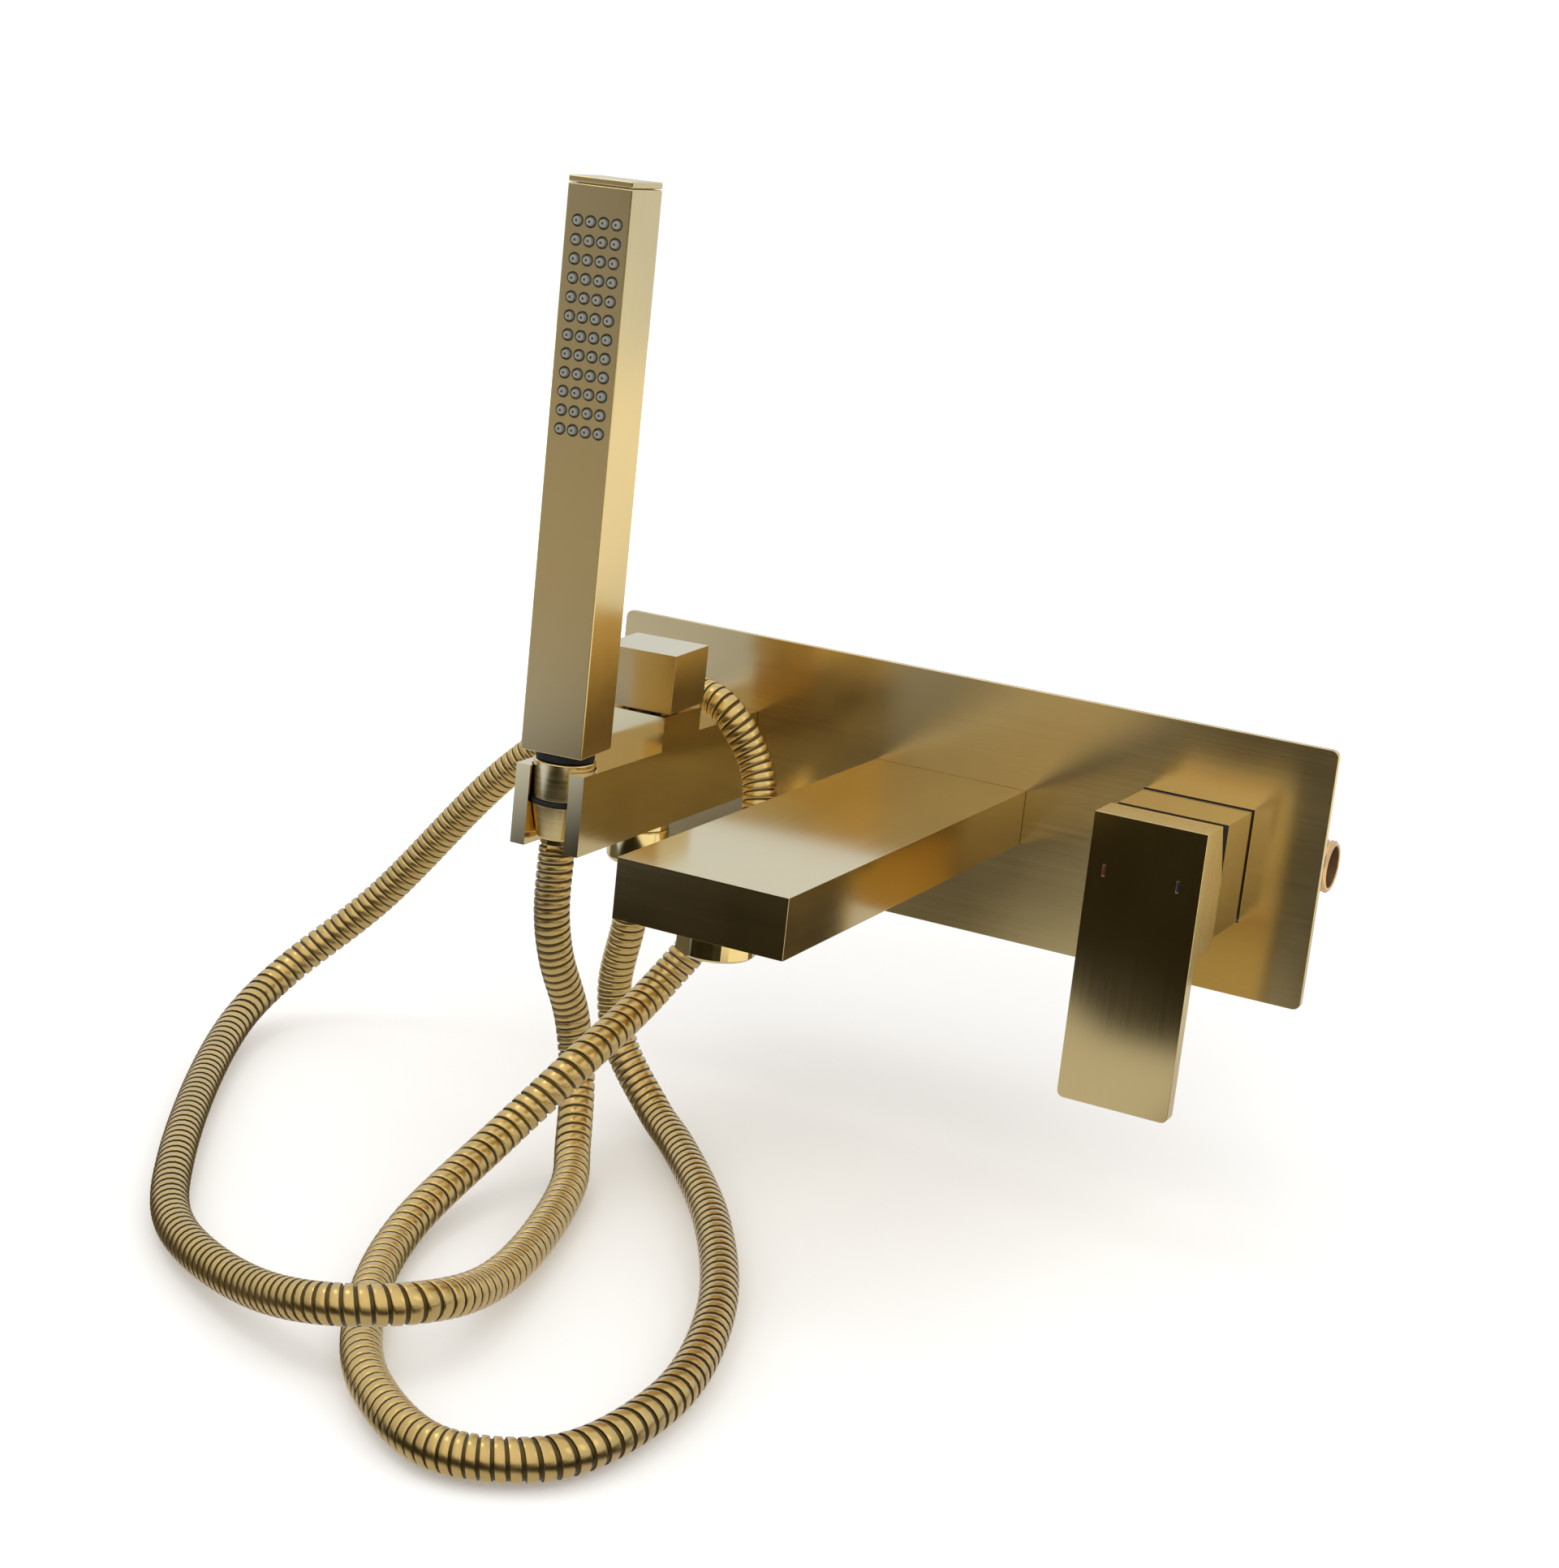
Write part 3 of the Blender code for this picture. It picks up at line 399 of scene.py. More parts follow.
def turned(name, outline, centre, axis="Z", fillet=0.2, segments=64, wobble=None):
    """A closed outline of (radius, height) pairs turned about an axis.

    The wobble, if any, says how much to add to a radius, for a radius, a height and an angle.
    """
    outline = filleted(outline, fillet) if fillet else list(outline)
    frames = {"X": ((0, 1, 0), (0, 0, 1), (1, 0, 0)), "Z": ((1, 0, 0), (0, 1, 0), (0, 0, 1))}
    first, second, along = (Vector(v) for v in frames[axis])
    bm = bmesh.new()
    verts = []
    for i in range(segments):
        angle = 2 * math.pi * i / segments
        out = first * math.cos(angle) + second * math.sin(angle)
        for radius, height in outline:
            if wobble:
                radius += wobble(radius, height, angle)
            point = Vector(centre) + out * radius + along * height
            verts.append(bm.verts.new([c * MM for c in point]))
    count = len(outline)
    for i in range(segments):
        for j in range(count):
            a, b = i * count + j, (i + 1) % segments * count + j
            c, d = (i + 1) % segments * count + (j + 1) % count, i * count + (j + 1) % count
            bm.faces.new([verts[k] for k in (a, b, c, d)])
    bmesh.ops.remove_doubles(bm, verts=bm.verts, dist=SAME_PLACE)
    bmesh.ops.dissolve_degenerate(bm, edges=bm.edges, dist=NO_LENGTH)
    return finish_mesh(name, bm, 50)


THREAD_CREST, THREAD_ROOT, THREAD_PITCH = 10.45, 9.3, 1.814      # half inch pipe thread
THREAD_STEEP, THREAD_LAND = 2.6, 0.15            # of the cut across one pitch: its slope, and its flat crest


def thread(low, high):
    """A wobble that cuts a V thread between two heights, fading in at both ends."""
    def wobble(radius, height, angle):
        if radius < THREAD_ROOT or not low < height < high:
            return 0.0
        turn = (height / THREAD_PITCH - angle / (2 * math.pi)) % 1.0
        cut = min(1.0, max(0.0, THREAD_STEEP * abs(turn - 0.5) - THREAD_LAND))
        fade = min(1.0, (height - low) / THREAD_PITCH, (high - height) / THREAD_PITCH)
        return -(THREAD_CREST - THREAD_ROOT) * cut * fade
    return wobble


def threaded_side(radius, low, high, step):
    """Outline points close enough together for a thread."""
    count = max(2, int(abs(high - low) / step))
    return [(radius, low + (high - low) * i / count) for i in range(count + 1)]


CRADLE, TURRET = (-HEAD_SPACING, -SEAT_Y, 0), (-HEAD_SPACING, -TURRET_Y, 0)
INLET_BORE, INLET_START, INLET_END, INLET_DEPTH = 8.3, 122.5, 152.3, 25.0
INLET_CHAMFER, INLET_LIP = 0.9, 0.3
INLET_INNER_END, INLET_OUTER_END = 9.4, 9.5      # radii where the chamfers end

# name, replaced node, body, finish, slot, centre, fillet, outline of (radius, height) pairs
TURNED = [
    ("collar", "handset_collar", "handset", "turned", "brass_satin", CRADLE, 0.25,
     [(4.5, -1.3), (8.6, -1.3), (8.6, 3.6), (11.2, 3.6), (11.8, 17.8), (11.3, 18.2), (6.7, 18.2), (6.7, 27),
      (4.5, 27)]),
    ("gasket", "handset_gasket", "handset", "rubber", "black_rubber", CRADLE, 0.6,
     [(7, 18.5), (11.2, 18.5), (11.2, 21.6), (7, 21.6)]),
    ("ring", "cone_o_ring", "hose_end", "rubber", "black_rubber", CRADLE, 0.9,
     [(9.0, 1.5), (11.6, 1.5), (11.6, 3.3), (9.0, 3.3)]),
    ("cone_nut", "hose_cone_nut", "hose_end", "turned", "brass_satin", CRADLE, 0.2,
     [(7.1, -12.3), (7.75, -12.3), (8.4, -11.7), (11.2, 1.2), (8.9, 1.2), (8.9, -4.5), (7.1, -4.5)]),
    ("ferrule_upper", "hose_ferrule_upper", "hose_end", "polished", "brass_satin", CRADLE, 0.15,
     [(4.5, -14.6), (6.8, -14.6), (6.8, -4.2), (8.5, -4.2), (8.5, -3.2), (4.5, -3.2)]),
    ("ferrule_lower", "hose_ferrule_lower", "fixed_body", "polished", "brass_satin", TURRET, 0.2,
     [(5, -37.5), (6.9, -37.5), (6.9, -30.7), (9.6, -30.7), (9.6, -29.9), (5, -29.9)]),
    ("union_nut", "hose_union_nut", "fixed_body", "polished", "brass_satin", TURRET, 0.7,
     [(7.3, -34), (10.7, -34), (12.1, -32.2), (12.1, -19.6), (10.4, -19.6), (10.4, -31), (7.3, -31)]),
]


def make_turned_pieces():
    """The nuts, rings and ferrules, and the two threaded inlets with their bores painted dark as shade."""
    for name, node, body, finish, slot, centre, fillet, outline in TURNED:
        place(turned(name, outline, centre, fillet=fillet), body, finish, slot, node)
    for side, label in ((1, "cold"), (-1, "hot")):
        low, high = side * INLET_START, side * INLET_END
        chamfer = side * INLET_CHAMFER
        outline = [(INLET_BORE, low), (INLET_INNER_END, low), (THREAD_CREST, low + chamfer)]
        outline += threaded_side(THREAD_CREST, low + chamfer, high - chamfer, THREAD_PITCH / 10)[1:]
        outline += [(INLET_OUTER_END, high), (INLET_BORE + INLET_LIP, high),
                    (INLET_BORE, high - side * INLET_LIP)]
        cut = thread(*sorted((low + chamfer, high - chamfer)))
        nipple = turned(label + "_nipple", outline, (0, INLET_DEPTH, 0), "X", 0, 48, cut)
        place(nipple, "fixed_body", "raw", "raw_brass", label + "_inlet_nipple")
        # Painted shade: the inlet's bore gets a darker copy of the raw brass
        nipple.data.materials.append(finishes["bore"])
        for face in nipple.data.polygons:
            out = face.center - Vector((0, INLET_DEPTH, 0)) * MM
            face.material_index = int(math.hypot(out.y, out.z) < (INLET_BORE + INLET_LIP / 3) * MM)


def place(obj, body, finish, slot, node):
    """Gives a piece its finish and the body it rides on, and hides the CAD node it stands for."""
    obj.data.materials.clear()
    obj.data.materials.append(finishes[finish])
    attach(obj, body)
    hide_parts(node)


# ---------------------------------------------------------------- hand shower

STICK_SIDE, STICK_BOTTOM, STICK_TOP, STICK_WALL = 25.5, 21.9, 230.1, 1.8
NOZZLE_ROWS, NOZZLE_COLUMNS, NOZZLE_LOW_Z = 12, 4, 142.7
NOZZLE_ROW_PITCH, NOZZLE_COLUMN_PITCH, NOZZLE_LIFT = 6.77, 5.18, 1.2
STICK_EDGE, STICK_FLOOR = 0.55, 3.0
# Outlines of (radius, depth): the nib, from the water hole in its tip, and the hole for it in the stick's
# front, which starts a little in front of the stick
NIB = [(0.0, 1.0), (0.45, 0.95), (0.52, 0.1), (0.66, 0.0), (1.05, 0.0), (1.36, 0.14), (1.50, 0.5),
       (1.56, 1.2), (1.85, 3.0), (1.85, 3.6), (0.0, 3.6)]
NIB_HOLE, NIB_HOLE_LEAD = [(0, 0), (2.35, 0), (2.35, 1.1), (2.2, 1.3), (2.2, 3.6), (0, 3.6)], 1
INLET_HOLE = [(0, 20), (7, 20), (7, 26), (0, 26)]     # radius and height, through the stick's bottom
MAT_HALF_WIDTH, MAT_FRONT, MAT_BACK, MAT_MARGIN = 10.2, 0.3, 1.8, 8      # the sheet that joins the nibs


def nozzle_places():
    """Where each nozzle sits on the stick's front, across and up."""
    for row in range(NOZZLE_ROWS):
        for column in range(NOZZLE_COLUMNS):
            across = (column - (NOZZLE_COLUMNS - 1) / 2) * NOZZLE_COLUMN_PITCH
            yield across, NOZZLE_LOW_Z + row * NOZZLE_ROW_PITCH


def swung(obj):
    """Moves a piece made square about the origin to the cradle, turned as the hand shower is."""
    middle = Matrix.Translation(Vector(CRADLE) * MM)
    obj.data.transform(middle @ Matrix.Rotation(YAW, 4, "Z"))
    return obj


def block(bm, low, high):
    """Adds a box to a bmesh, in millimetres."""
    corners = [bm.verts.new([(low, high)[k][i] * MM for i, k in enumerate((x, y, level))])
               for level in (0, 1) for x, y in ((0, 0), (1, 0), (1, 1), (0, 1))]
    return [bm.faces.new([corners[i] for i in face])
            for face in ((3, 2, 1, 0), (4, 5, 6, 7), (0, 1, 5, 4), (1, 2, 6, 5), (2, 3, 7, 6), (3, 0, 4, 7))]


def lathe_onto(bm, outline, centre, segments):
    """Adds an outline of (radius, depth) pairs to a bmesh, turned about the front-back axis at the centre."""
    rings = []
    for radius, depth in outline:
        if radius == 0:
            rings.append([bm.verts.new((centre[0] * MM, (centre[1] + depth) * MM, centre[2] * MM))])
            continue
        rings.append([bm.verts.new(((centre[0] + radius * math.cos(2 * math.pi * i / segments)) * MM,
                                    (centre[1] + depth) * MM,
                                    (centre[2] + radius * math.sin(2 * math.pi * i / segments)) * MM))
                      for i in range(segments)])
    for near, far in zip(rings, rings[1:]):
        for i in range(segments):
            j = (i + 1) % segments
            face = [near[i % len(near)], near[j % len(near)], far[j % len(far)], far[i % len(far)]]
            bm.faces.new(list(dict.fromkeys(face)))


def finish_mesh(name, bm, smooth_deg=35):
    """Turns a bmesh into an object, smooth except across its sharp edges."""
    bmesh.ops.recalc_face_normals(bm, faces=bm.faces)
    mesh = bpy.data.meshes.new(name)
    bm.to_mesh(mesh)
    bm.free()
    mesh.shade_smooth()
    mesh.set_sharp_from_angle(angle=math.radians(smooth_deg))
    return link(name, mesh)


def carve(obj, *cutters):
    """Cuts pieces out of a piece, keeps the result as its mesh and removes the cutters."""
    for cutter in cutters:
        modifier = obj.modifiers.new("carve", "BOOLEAN")
        modifier.operation, modifier.object, modifier.solver = "DIFFERENCE", cutter, "EXACT"
    bpy.context.view_layer.update()
    result = bpy.data.meshes.new_from_object(obj.evaluated_get(bpy.context.evaluated_depsgraph_get()))
    obj.modifiers.clear()
    obj.data = result
    for cutter in cutters:
        bpy.data.objects.remove(cutter)
    result.set_sharp_from_angle(angle=math.radians(35))


def make_stick():
    """The hand shower's hollow square stick, open at the top for its end cap, with its nozzle holes."""
    half, inner = STICK_SIDE / 2, STICK_SIDE / 2 - STICK_WALL
    bm = bmesh.new()
    block(bm, (-half, -half, STICK_BOTTOM), (half, half, STICK_TOP))
    bmesh.ops.bevel(bm, geom=bm.edges[:], offset=STICK_EDGE * MM, segments=3, profile=0.5, affect="EDGES")
    stick = finish_mesh("stick_shell", bm)
    cavity = bmesh.new()
    block(cavity, (-inner, -inner, STICK_BOTTOM + STICK_FLOOR), (inner, inner, STICK_TOP + 5))
    holes = bmesh.new()
    for x, z in nozzle_places():
        lathe_onto(holes, NIB_HOLE, (x, -half - NIB_HOLE_LEAD, z), 24)
    carve(stick, finish_mesh("cavity_cutter", cavity), finish_mesh("hole_cutter", holes))
    carve(stick, turned("inlet_cutter", INLET_HOLE, (0, 0, 0), fillet=0, segments=32))
    weights = stick.modifiers.new("flat_faces", "WEIGHTED_NORMAL")
    weights.keep_sharp = True
    place(swung(stick), "handset", "stick", "brass_satin", "handset_body")


def make_nozzles():
    """The silicone nibs, joined by a sheet behind the stick's front wall."""
    half, inner = STICK_SIDE / 2, STICK_SIDE / 2 - STICK_WALL
    bm = bmesh.new()
    for x, z in nozzle_places():
        lathe_onto(bm, NIB, (x, -half - NOZZLE_LIFT, z), 16)
    low = NOZZLE_LOW_Z - MAT_MARGIN
    high = NOZZLE_LOW_Z + (NOZZLE_ROWS - 1) * NOZZLE_ROW_PITCH + MAT_MARGIN
    block(bm, (-MAT_HALF_WIDTH, -inner + MAT_FRONT, low), (MAT_HALF_WIDTH, -inner + MAT_BACK, high))
    place(swung(finish_mesh("nozzle_nibs", bm, 40)), "handset", "silicone", "nozzle_silicone", "nozzle_mat")


AERATOR_RINGS = ((8.3, 9.5), (5.2, 5.9), (2.2, 2.9))      # inner and outer radius
AERATOR_LOW, AERATOR_HIGH = -6.4, 2.2                     # heights of the rings from the spout's underside
AERATOR_SEGMENTS, AERATOR_SPOKES, SPOKE_HALF_WIDTH = 48, 16, 0.3
SPOKE_START, SPOKE_END, SPOKE_LOW, SPOKE_HIGH = 0.6, 8.6, -6.1, -2.0


def make_aerator_screen():
    """The spout's outlet seen from below: a rim, two rings and a rosette of spokes."""
    bm = bmesh.new()
    top = -SPOUT_HALF_HEIGHT
    for inner, outer in AERATOR_RINGS:
        low, high = top + AERATOR_LOW, top + AERATOR_HIGH
        ring = [(inner, low), (outer, low), (outer, high), (inner, high)]
        verts = [[bm.verts.new((r * math.cos(a) * MM, (r * math.sin(a) - AERATOR_Y) * MM, z * MM))
                  for r, z in ring]
                 for a in [2 * math.pi * i / AERATOR_SEGMENTS for i in range(AERATOR_SEGMENTS)]]
        for near, far in zip(verts, verts[1:] + verts[:1]):
            for i in range(len(ring)):
                j = (i + 1) % len(ring)
                bm.faces.new((near[i], near[j], far[j], far[i]))
    for i in range(AERATOR_SPOKES):
        spoke = block(bm, (SPOKE_START, -SPOKE_HALF_WIDTH, top + SPOKE_LOW),
                      (SPOKE_END, SPOKE_HALF_WIDTH, top + SPOKE_HIGH))
        corners = list({v for face in spoke for v in face.verts})
        turn = Matrix.Rotation(2 * math.pi * i / AERATOR_SPOKES, 4, "Z")
        turn = Matrix.Translation((0, -AERATOR_Y * MM, 0)) @ turn
        bmesh.ops.transform(bm, matrix=turn, verts=corners)
    screen = finish_mesh("aerator_screen", bm)
    place(screen, "fixed_body", "plastic", "grey_plastic", "aerator_insert")


# ---------------------------------------------------------------- stage

def make_camera():
    """The camera, with a lens and a place that fit the faucet's plate, spout and arm."""
    camera = bpy.data.cameras.new("camera")
    camera.lens, camera.sensor_width = CAMERA_LENS, CAMERA_SENSOR
    obj = bpy.data.objects.new("camera", camera)
    bpy.context.scene.collection.objects.link(obj)
    obj.location = Vector(CAMERA_PLACE) * MM
    obj.rotation_euler = [math.radians(a) for a in CAMERA_TURN]
    bpy.context.scene.camera = obj


FLOOR_WHITE, FLOOR_ROUGHNESS, FLOOR_GLOSS = (0.93, 0.92, 0.90), 0.9, 0.1

# What polished faces see in the floor: painted reflections, as linear colours, and where each thing lies, in
# metres. For reflections only, the floor glows with a painted white sheet under the faucet, a dark room in
# front of it, a window to the left and glare to the right.
SHEET_WHITE, SHEET_DIM = (0.62, 0.64, 0.70, 1), (0.13, 0.12, 0.095, 1)
ROOM_DARK, ROOM_DIM = (0.020, 0.017, 0.008, 1), (0.44, 0.42, 0.40, 1)
WINDOW_GLOW, GLARE = (0.82, 1.0, 1.6, 1), (1.15, 1.13, 1.06, 1)
SHEET_EDGE = (-0.28, -0.325)                # in depth, towards the front
SHEET_SLANT, SLANT_END = 0.06, 0.02         # left of the slant's end it reaches further forward
SHEET_LEFT, SHEET_RIGHT = (-0.31, -0.50), (0.30, 0.34)
WINDOW_DEPTH, WINDOW_SHIFT = (-0.80, -1.0), 0.12
DIM_DEPTH = (0.0, -0.08)                    # in front of the plate the sheet turns dim,
PATCH_X, PATCH_EDGE = 0.01, (0.06, 0.09)    # but for a strip this wide to either side of its middle
FLAT_LOOK = (0.35, 0.55)                    # facing values: a steep look sees white, a flat one all of it

HAZE_OUT, HAZE_OUT_LIFT = (0.45, 0.9), 0.5        # how far out the floor fades into the white backdrop
HAZE_NEAR, HAZE_NEAR_LIFT = (0.08, 0.28), 0.15    # painted light: how far from the greyest spot the floor's glow starts to lift its shade
SHADE_PLACE = (-0.06, 0.17, FLOOR_Z * MM)         # the floor's painted lift is least here, so it stays greyest behind the spout


def floor_painted_reflection(net, spot):
    """The painted colour that a polished face sees at a spot on the floor: a painted reflection."""
    split = net.node("ShaderNodeSeparateXYZ")
    net.join(spot, split.inputs[0])
    x, y = split.outputs["X"], split.outputs["Y"]
    slant = net.span(x, SLANT_END - SHEET_SLANT, SLANT_END, -SHEET_SLANT, 0.0)
    past_edge = net.fade(net.math("SUBTRACT", y, slant), SHEET_EDGE)
    past_left = net.fade(net.math("ADD", x, net.span(y, *WINDOW_DEPTH, 0.0, -WINDOW_SHIFT)), SHEET_LEFT)
    past_right = net.fade(x, SHEET_RIGHT)
    window = net.mix_colour(net.fade(y, WINDOW_DEPTH), WINDOW_GLOW, ROOM_DIM)
    beyond = net.mix_colour(past_left, ROOM_DARK, window)
    off_patch = net.fade(net.math("ABSOLUTE", net.math("SUBTRACT", x, PATCH_X)), PATCH_EDGE)
    dimness = net.math("MULTIPLY", net.fade(y, DIM_DEPTH), off_patch)
    near = net.mix_colour(dimness, SHEET_WHITE, SHEET_DIM)
    flat_view = net.mix_colour(past_right, net.mix_colour(past_edge, near, beyond), GLARE)
    facing = net.node("ShaderNodeLayerWeight")
    facing.inputs["Blend"].default_value = 0.5
    return net.mix_colour(net.fade(facing.outputs["Facing"], FLAT_LOOK), SHEET_WHITE, flat_view)


def floor_painted_glow(net, spot):
    """How strongly the floor glows at a spot: far out it fades into the backdrop, nearer in a painted glow
    lifts its shade, least at the greyest spot.
    """
    far = net.node("ShaderNodeVectorMath", operation="LENGTH")
    net.join(spot, far.inputs[0])
    from_shade = net.node("ShaderNodeVectorMath", operation="DISTANCE")
    net.join(spot, from_shade.inputs[0])
    from_shade.inputs[1].default_value = SHADE_PLACE
    return net.math("ADD", net.span(far.outputs["Value"], *HAZE_OUT, 0.0, HAZE_OUT_LIFT, smooth=True),
                    net.span(from_shade.outputs["Value"], *HAZE_NEAR, 0.0, HAZE_NEAR_LIFT, smooth=True))


def make_floor():
    """A pale level floor, plainly lit for the camera. Only reflections see it glow with the painted sheet,
    room and window.
    """
    half = FLOOR_HALF
    floor = mesh_object("floor", [(-half, -half, FLOOR_Z), (half, -half, FLOOR_Z), (half, half, FLOOR_Z),
                                  (-half, half, FLOOR_Z)], [(0, 1, 2, 3)])
    material, tree, shader = new_material("floor_white", FLOOR_WHITE, FLOOR_ROUGHNESS, 0.0)
    shader.inputs["Specular IOR Level"].default_value = FLOOR_GLOSS
    net = Net(tree)
    spot = net.node("ShaderNodeTexCoord").outputs["Object"]
    glow = net.node("ShaderNodeEmission")
    net.join(floor_painted_reflection(net, spot), glow.inputs["Color"])
    haze = net.node("ShaderNodeEmission")
    net.join(floor_painted_glow(net, spot), haze.inputs["Strength"])
    lit = net.node("ShaderNodeAddShader")
    net.join(shader.outputs[0], lit.inputs[0])
    net.join(haze.outputs[0], lit.inputs[1])
    path = net.node("ShaderNodeLightPath")
    choose = net.node("ShaderNodeMixShader")
    net.join(path.outputs["Is Glossy Ray"], choose.inputs[0])
    net.join(lit.outputs[0], choose.inputs[1])
    net.join(glow.outputs[0], choose.inputs[2])
    net.join(choose.outputs[0], tree.nodes["Material Output"].inputs["Surface"])
    material.cycles.emission_sampling = "NONE"
    floor.data.materials.append(material)


# The dome's strength as light and as the camera's backdrop
DOME_LIGHT, BACKDROP = 1.06, 1.05
# Directions, as parts of a unit vector, where the sky that polished faces see changes: from the back to the
# front, and ahead to the left and to the right
SKY_FRONT, SKY_LEFT, SKY_RIGHT = (0.25, -0.45), (-0.41, -0.47), (-0.325, -0.30)
# Sky colours by height, from 0, level, to 1, overhead
FRONT_SKY = [(0.0, (0.42, 0.44, 0.52)), (0.14, (0.22, 0.22, 0.22)), (0.22, (0.22, 0.22, 0.23)),
             (0.30, (0.58, 0.62, 0.70)), (1.0, (0.95, 1.02, 1.25))]
LEFT_SKY = [(0.0, (0.34, 0.37, 0.50)), (0.21, (0.64, 0.65, 0.69)), (1.0, (0.95, 1.02, 1.25))]
RIGHT_SKY = [(0.0, (0.03, 0.027, 0.015)), (0.12, (0.05, 0.045, 0.03)), (0.20, (0.95, 0.95, 1.0)),
             (1.0, (1.1, 1.15, 1.25))]
BACK_SKY = [(0.0, (0.72, 0.80, 0.98)), (0.25, (0.76, 0.86, 1.05)), (1.0, (0.95, 1.0, 1.15))]
# Soft lights: name, place and target in metres, size in metres, power in watts, colour
SOFTBOXES = [
    ("softbox_top", (-0.5, -0.35, 1.3), (0, -0.1, 0), (0.4, 0.3), 1.0, (1, 1, 1)),
    ("softbox_right", (1.2, 0.1, 0.9), (0, -0.1, 0), (0.5, 0.7), 0.8, (1.0, 0.97, 0.92)),
]


def area_light(name, place, target, size, power, colour):
    """A rectangular light that looks from its place at the target."""
    data = bpy.data.lights.new(name, "AREA")
    data.shape, data.size, data.size_y = "RECTANGLE", size[0], size[1]
    data.energy, data.color = power, colour
    obj = bpy.data.objects.new(name, data)
    bpy.context.scene.collection.objects.link(obj)
    obj.location = Vector(place)
    obj.rotation_euler = (Vector(target) - Vector(place)).to_track_quat("-Z", "Y").to_euler()


def colour_ramp(net, value, stops):
    """The colour at a value between 0 and 1, from stops of (position, colour)."""
    ramp = net.node("ShaderNodeValToRGB")
    net.join(value, ramp.inputs["Fac"])
    elements = ramp.color_ramp.elements
    while len(elements) < len(stops):
        elements.new(0.5)
    for element, (position, colour) in zip(elements, stops):
        element.position, element.color = position, (*colour, 1)
    return ramp.outputs["Color"]


def make_light():
    """A white dome as light and backdrop, a sky with its own colours in reflections, and two soft lights."""
    world = bpy.data.worlds.new("studio")
    bpy.context.scene.world = world
    world.use_nodes = True
    world.cycles.sampling_method = "NONE"
    net = Net(world.node_tree)
    split = net.node("ShaderNodeSeparateXYZ")
    net.join(net.node("ShaderNodeTexCoord").outputs["Generated"], split.inputs[0])
    height = net.math("MAXIMUM", split.outputs["Z"], 0.0)
    in_front = net.fade(split.outputs["Y"], SKY_FRONT)
    on_left = net.fade(split.outputs["X"], SKY_LEFT)
    on_right = net.fade(split.outputs["X"], SKY_RIGHT)
    ahead = net.mix_colour(on_right, colour_ramp(net, height, FRONT_SKY), colour_ramp(net, height, RIGHT_SKY))
    ahead = net.mix_colour(on_left, ahead, colour_ramp(net, height, LEFT_SKY))
    reflected = net.mix_colour(in_front, colour_ramp(net, height, BACK_SKY), ahead)
    path = net.node("ShaderNodeLightPath")
    lit = net.mix_colour(path.outputs["Is Glossy Ray"], (DOME_LIGHT,) * 3 + (1,), reflected)
    seen = net.mix_colour(path.outputs["Is Camera Ray"], lit, (BACKDROP,) * 3 + (1,))
    background = world.node_tree.nodes["Background"]
    net.join(seen, background.inputs["Color"])
    background.inputs["Strength"].default_value = 1.0
    for softbox in SOFTBOXES:
        area_light(*softbox)


# ---------------------------------------------------------------- finishes

SEAM_SHADOW = 0.35            # how far in front of the plate the painted shade next to the plate begins
RUBBER_GLOSS = 0.15


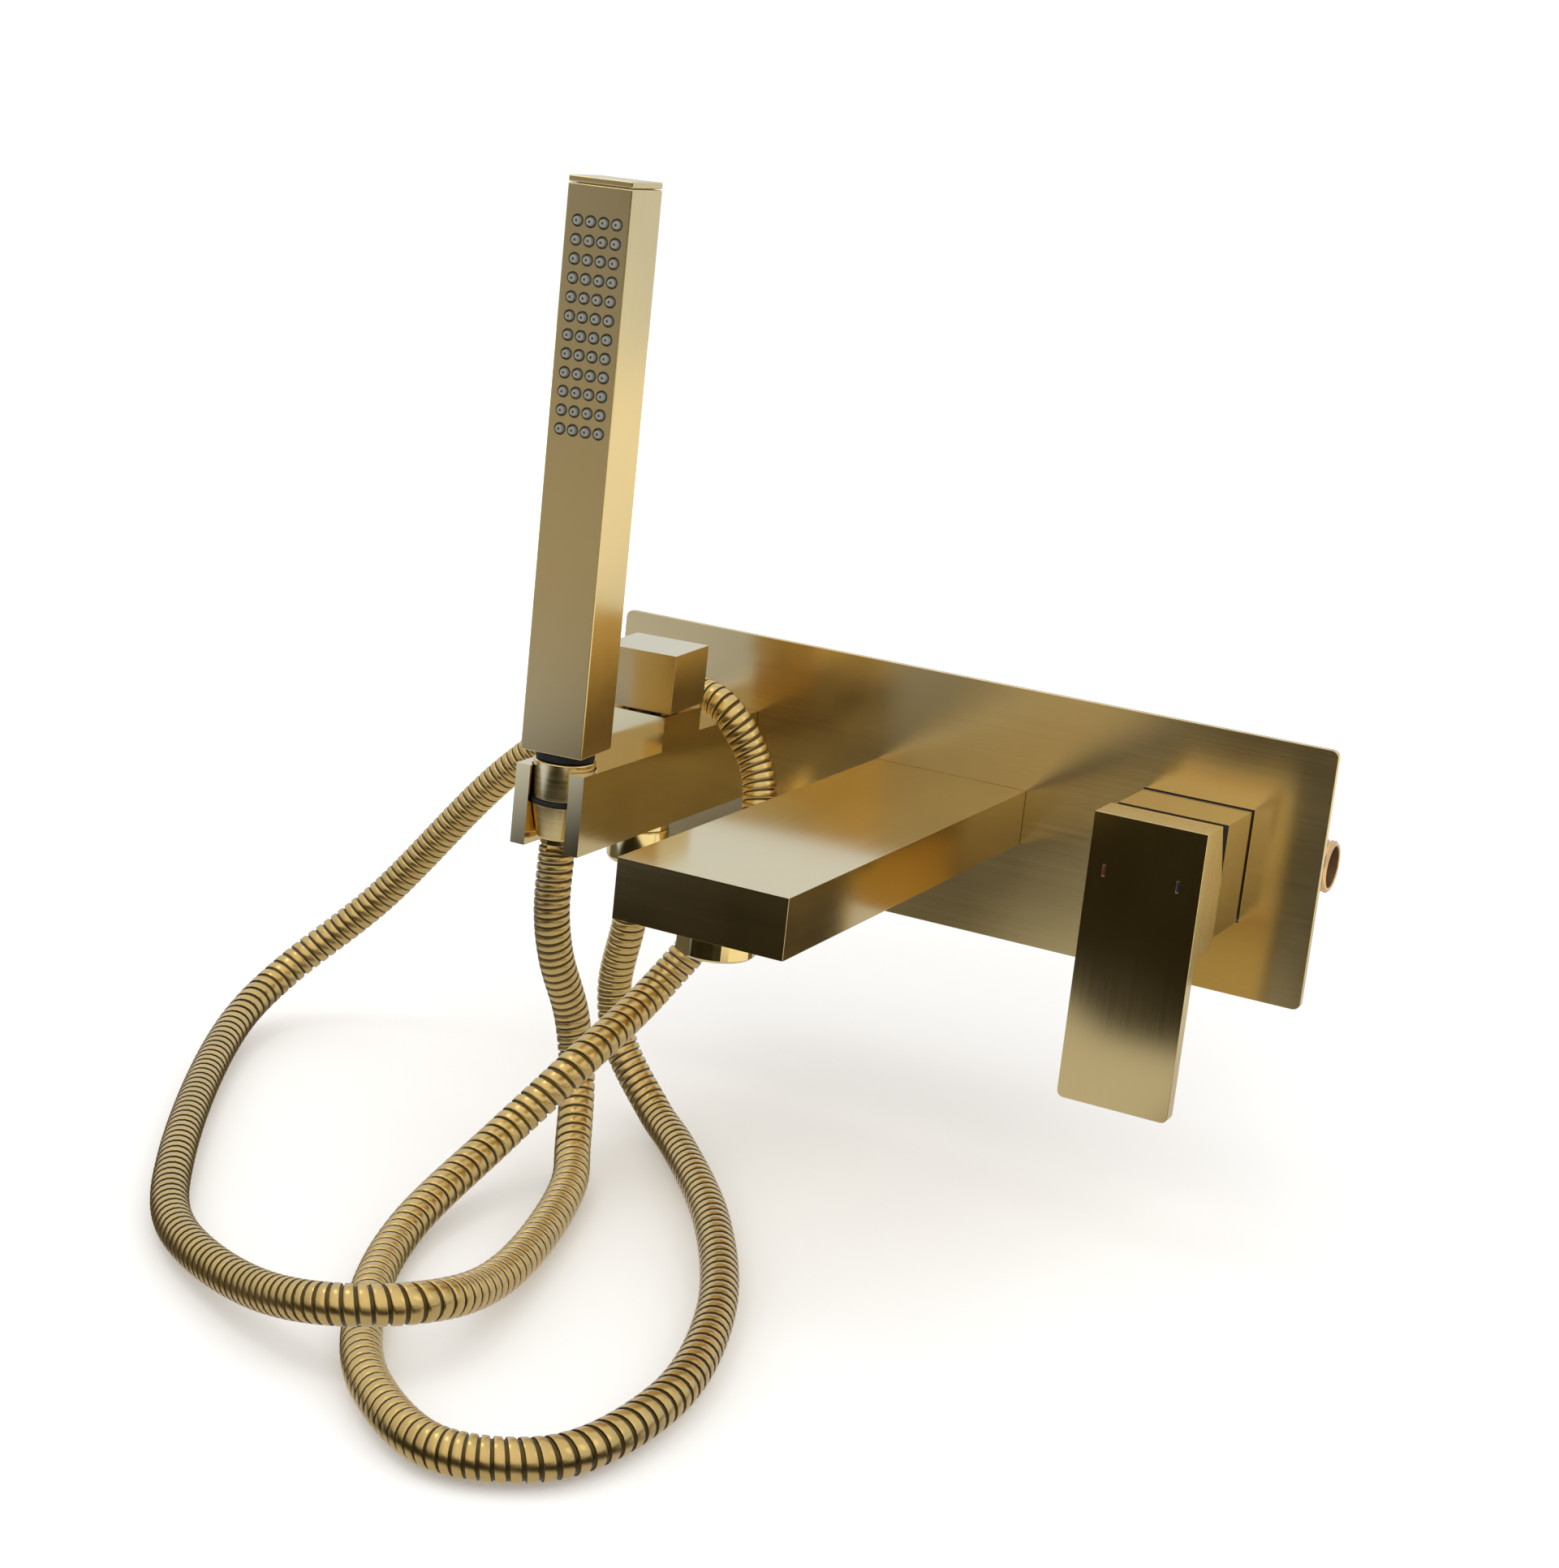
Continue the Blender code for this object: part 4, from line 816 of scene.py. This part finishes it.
def make_finishes():
    """All materials of the faucet by a short name."""
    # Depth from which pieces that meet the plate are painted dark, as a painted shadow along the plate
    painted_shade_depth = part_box("wall_plate")[0].y - SEAM_SHADOW * MM
    base_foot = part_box("lever_base")[0].z
    made = {
        "plate": brushed_metal("brass_plate", 0.20, "XXX", 0.7),
        "spout": brushed_metal("brass_spout", 0.12, "XYY", 0.5, painted_shade_depth),
        "lever": brushed_metal("brass_lever", 0.12, "ZZX", 0.5, painted_shade_depth, 1, base_foot, side_haze=0.14),
        "base": brushed_metal("brass_base", 0.18, "XYX", 0.5, painted_shade_depth, -1),
        "arm": brushed_metal("brass_arm", 0.11, "ZYY", 0.5),
        "knob": brushed_metal("brass_knob", 0.16, "ZZX", 0.5),
        "stick": brushed_metal("brass_stick", 0.22, "ZZX", 0.6),
        "turned": mottled("brass_turned", BRASS, 0.22, 1.0, 60.0, 0.10, 0.05, 0.04, (0.3, 0.3, 20)),
        "polished": mottled("brass_polished", POLISHED, 0.12, 1.0, 120.0, 0.06, 0.02, 0.03),
        # Painted shade for the inlet bores: the raw brass, darkened
        "bore": mottled("brass_bore_painted_shade", (0.14, 0.08, 0.035), 0.5, 1.0, 90.0, 0.16, 0.12, 0.08),
        "raw": mottled("brass_raw", (0.80, 0.47, 0.20), 0.28, 1.0, 90.0, 0.16, 0.12, 0.08),
        "cast": mottled("brass_cast", (0.66, 0.46, 0.22), 0.45, 1.0, 500.0, 0.2, 0.35, 0.08),
        "hose": mottled("brass_hose", HOSE_BRASS, 0.27, 1.0, 80.0, 0.12, 0.02, 0.04),
        # Dark brass for the hose's grooves: partly dirt, partly painted shade in the grooves
        "groove": mottled("brass_groove_dirt_and_shade", (0.11, 0.07, 0.02), 0.45, 1.0, 200.0, 0.2, 0.05, 0.08),
        "steel": mottled("steel_turned", (0.60, 0.60, 0.61), 0.28, 1.0, 200.0, 0.08, 0.05, 0.05, (1, 1, 8)),
        "rubber": mottled("rubber_black", (0.014, 0.014, 0.015), 0.5, 0.0, 700.0, 0.25, 0.1, 0.06),
        "plastic": mottled("plastic_grey", (0.30, 0.31, 0.32), 0.42, 0.0, 500.0, 0.08, 0.05, 0.05),
        "silicone": mottled("silicone_grey", (0.22, 0.22, 0.19), 0.5, 0.0, 900.0, 0.12, 0.08, 0.06),
        "red": mottled("mark_red", (0.10, 0.005, 0.005), 0.35, 0.0, 900.0, 0.1, 0.05, 0.05),
        "blue": mottled("mark_blue", (0.005, 0.009, 0.05), 0.35, 0.0, 900.0, 0.1, 0.05, 0.05),
    }
    rubber = made["rubber"].node_tree.nodes["Principled BSDF"]
    rubber.inputs["Specular IOR Level"].default_value = RUBBER_GLOSS
    return made


# Which finish a CAD node gets: its own, or else its slot's
NODE_FINISH = {"wall_plate": "plate", "spout_body": "spout", "lever_base": "base", "lever_handle": "lever",
               "diverter_body": "arm", "diverter_knob": "knob", "handset_body": "stick",
               "handset_end_cap": "stick", "aerator_housing": "polished", "hose_union_nut": "polished",
               "outlet_nipple": "polished", "valve_body": "cast"}
SLOT_FINISH = {"brass_satin": "turned", "brass_hose": "hose", "raw_brass": "raw", "steel_screw": "steel",
               "black_rubber": "rubber", "nozzle_silicone": "silicone", "grey_plastic": "plastic",
               "hot_red": "red", "cold_blue": "blue"}
EDGES = {"wall_plate": 0.4, "spout_body": 0.8, "lever_handle": 1.0, "diverter_body": 0.6,
         "diverter_knob": 1.0, "handset_end_cap": 0.6, "valve_body": 0.8}      # width of each rounded edge


def soften(obj, width):
    """Rounded edges that catch the light, from modifiers only."""
    weld = obj.modifiers.new("weld", "WELD")
    weld.merge_threshold = 1e-5
    bevel = obj.modifiers.new("soft_edges", "BEVEL")
    bevel.width, bevel.segments = width * MM, 2
    bevel.limit_method, bevel.angle_limit = "ANGLE", math.radians(40)
    bevel.harden_normals = True
    bevel.use_clamp_overlap = True


def dress_cad_nodes(nodes):
    """The CAD nodes' finishes and rounded edges."""
    for name, obj in nodes.items():
        slot = obj.data.materials[0].name.split(".")[0]
        obj.data.materials[0] = finishes[NODE_FINISH.get(name, SLOT_FINISH[slot])]
        if name in EDGES:
            soften(obj, EDGES[name])


# ---------------------------------------------------------------- run

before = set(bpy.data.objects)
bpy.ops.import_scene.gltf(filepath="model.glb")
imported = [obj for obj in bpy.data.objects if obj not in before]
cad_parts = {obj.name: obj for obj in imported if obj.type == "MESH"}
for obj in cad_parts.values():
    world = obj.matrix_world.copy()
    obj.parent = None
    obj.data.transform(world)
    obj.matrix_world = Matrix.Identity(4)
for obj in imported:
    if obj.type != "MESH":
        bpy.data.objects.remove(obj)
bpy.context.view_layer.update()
make_camera()
make_floor()

hose, hose_length, hose_path = make_hose()
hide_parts("shower_hose")
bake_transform(hose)
hose.visible_glossy = False

finishes = make_finishes()
hose.data.materials.append(finishes["hose"])
hose.data.materials.append(finishes["groove"])
make_turned_pieces()
make_stick()
make_nozzles()
make_aerator_screen()
dress_cad_nodes(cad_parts)

bpy.context.scene.view_settings.view_transform = "Standard"
make_light()
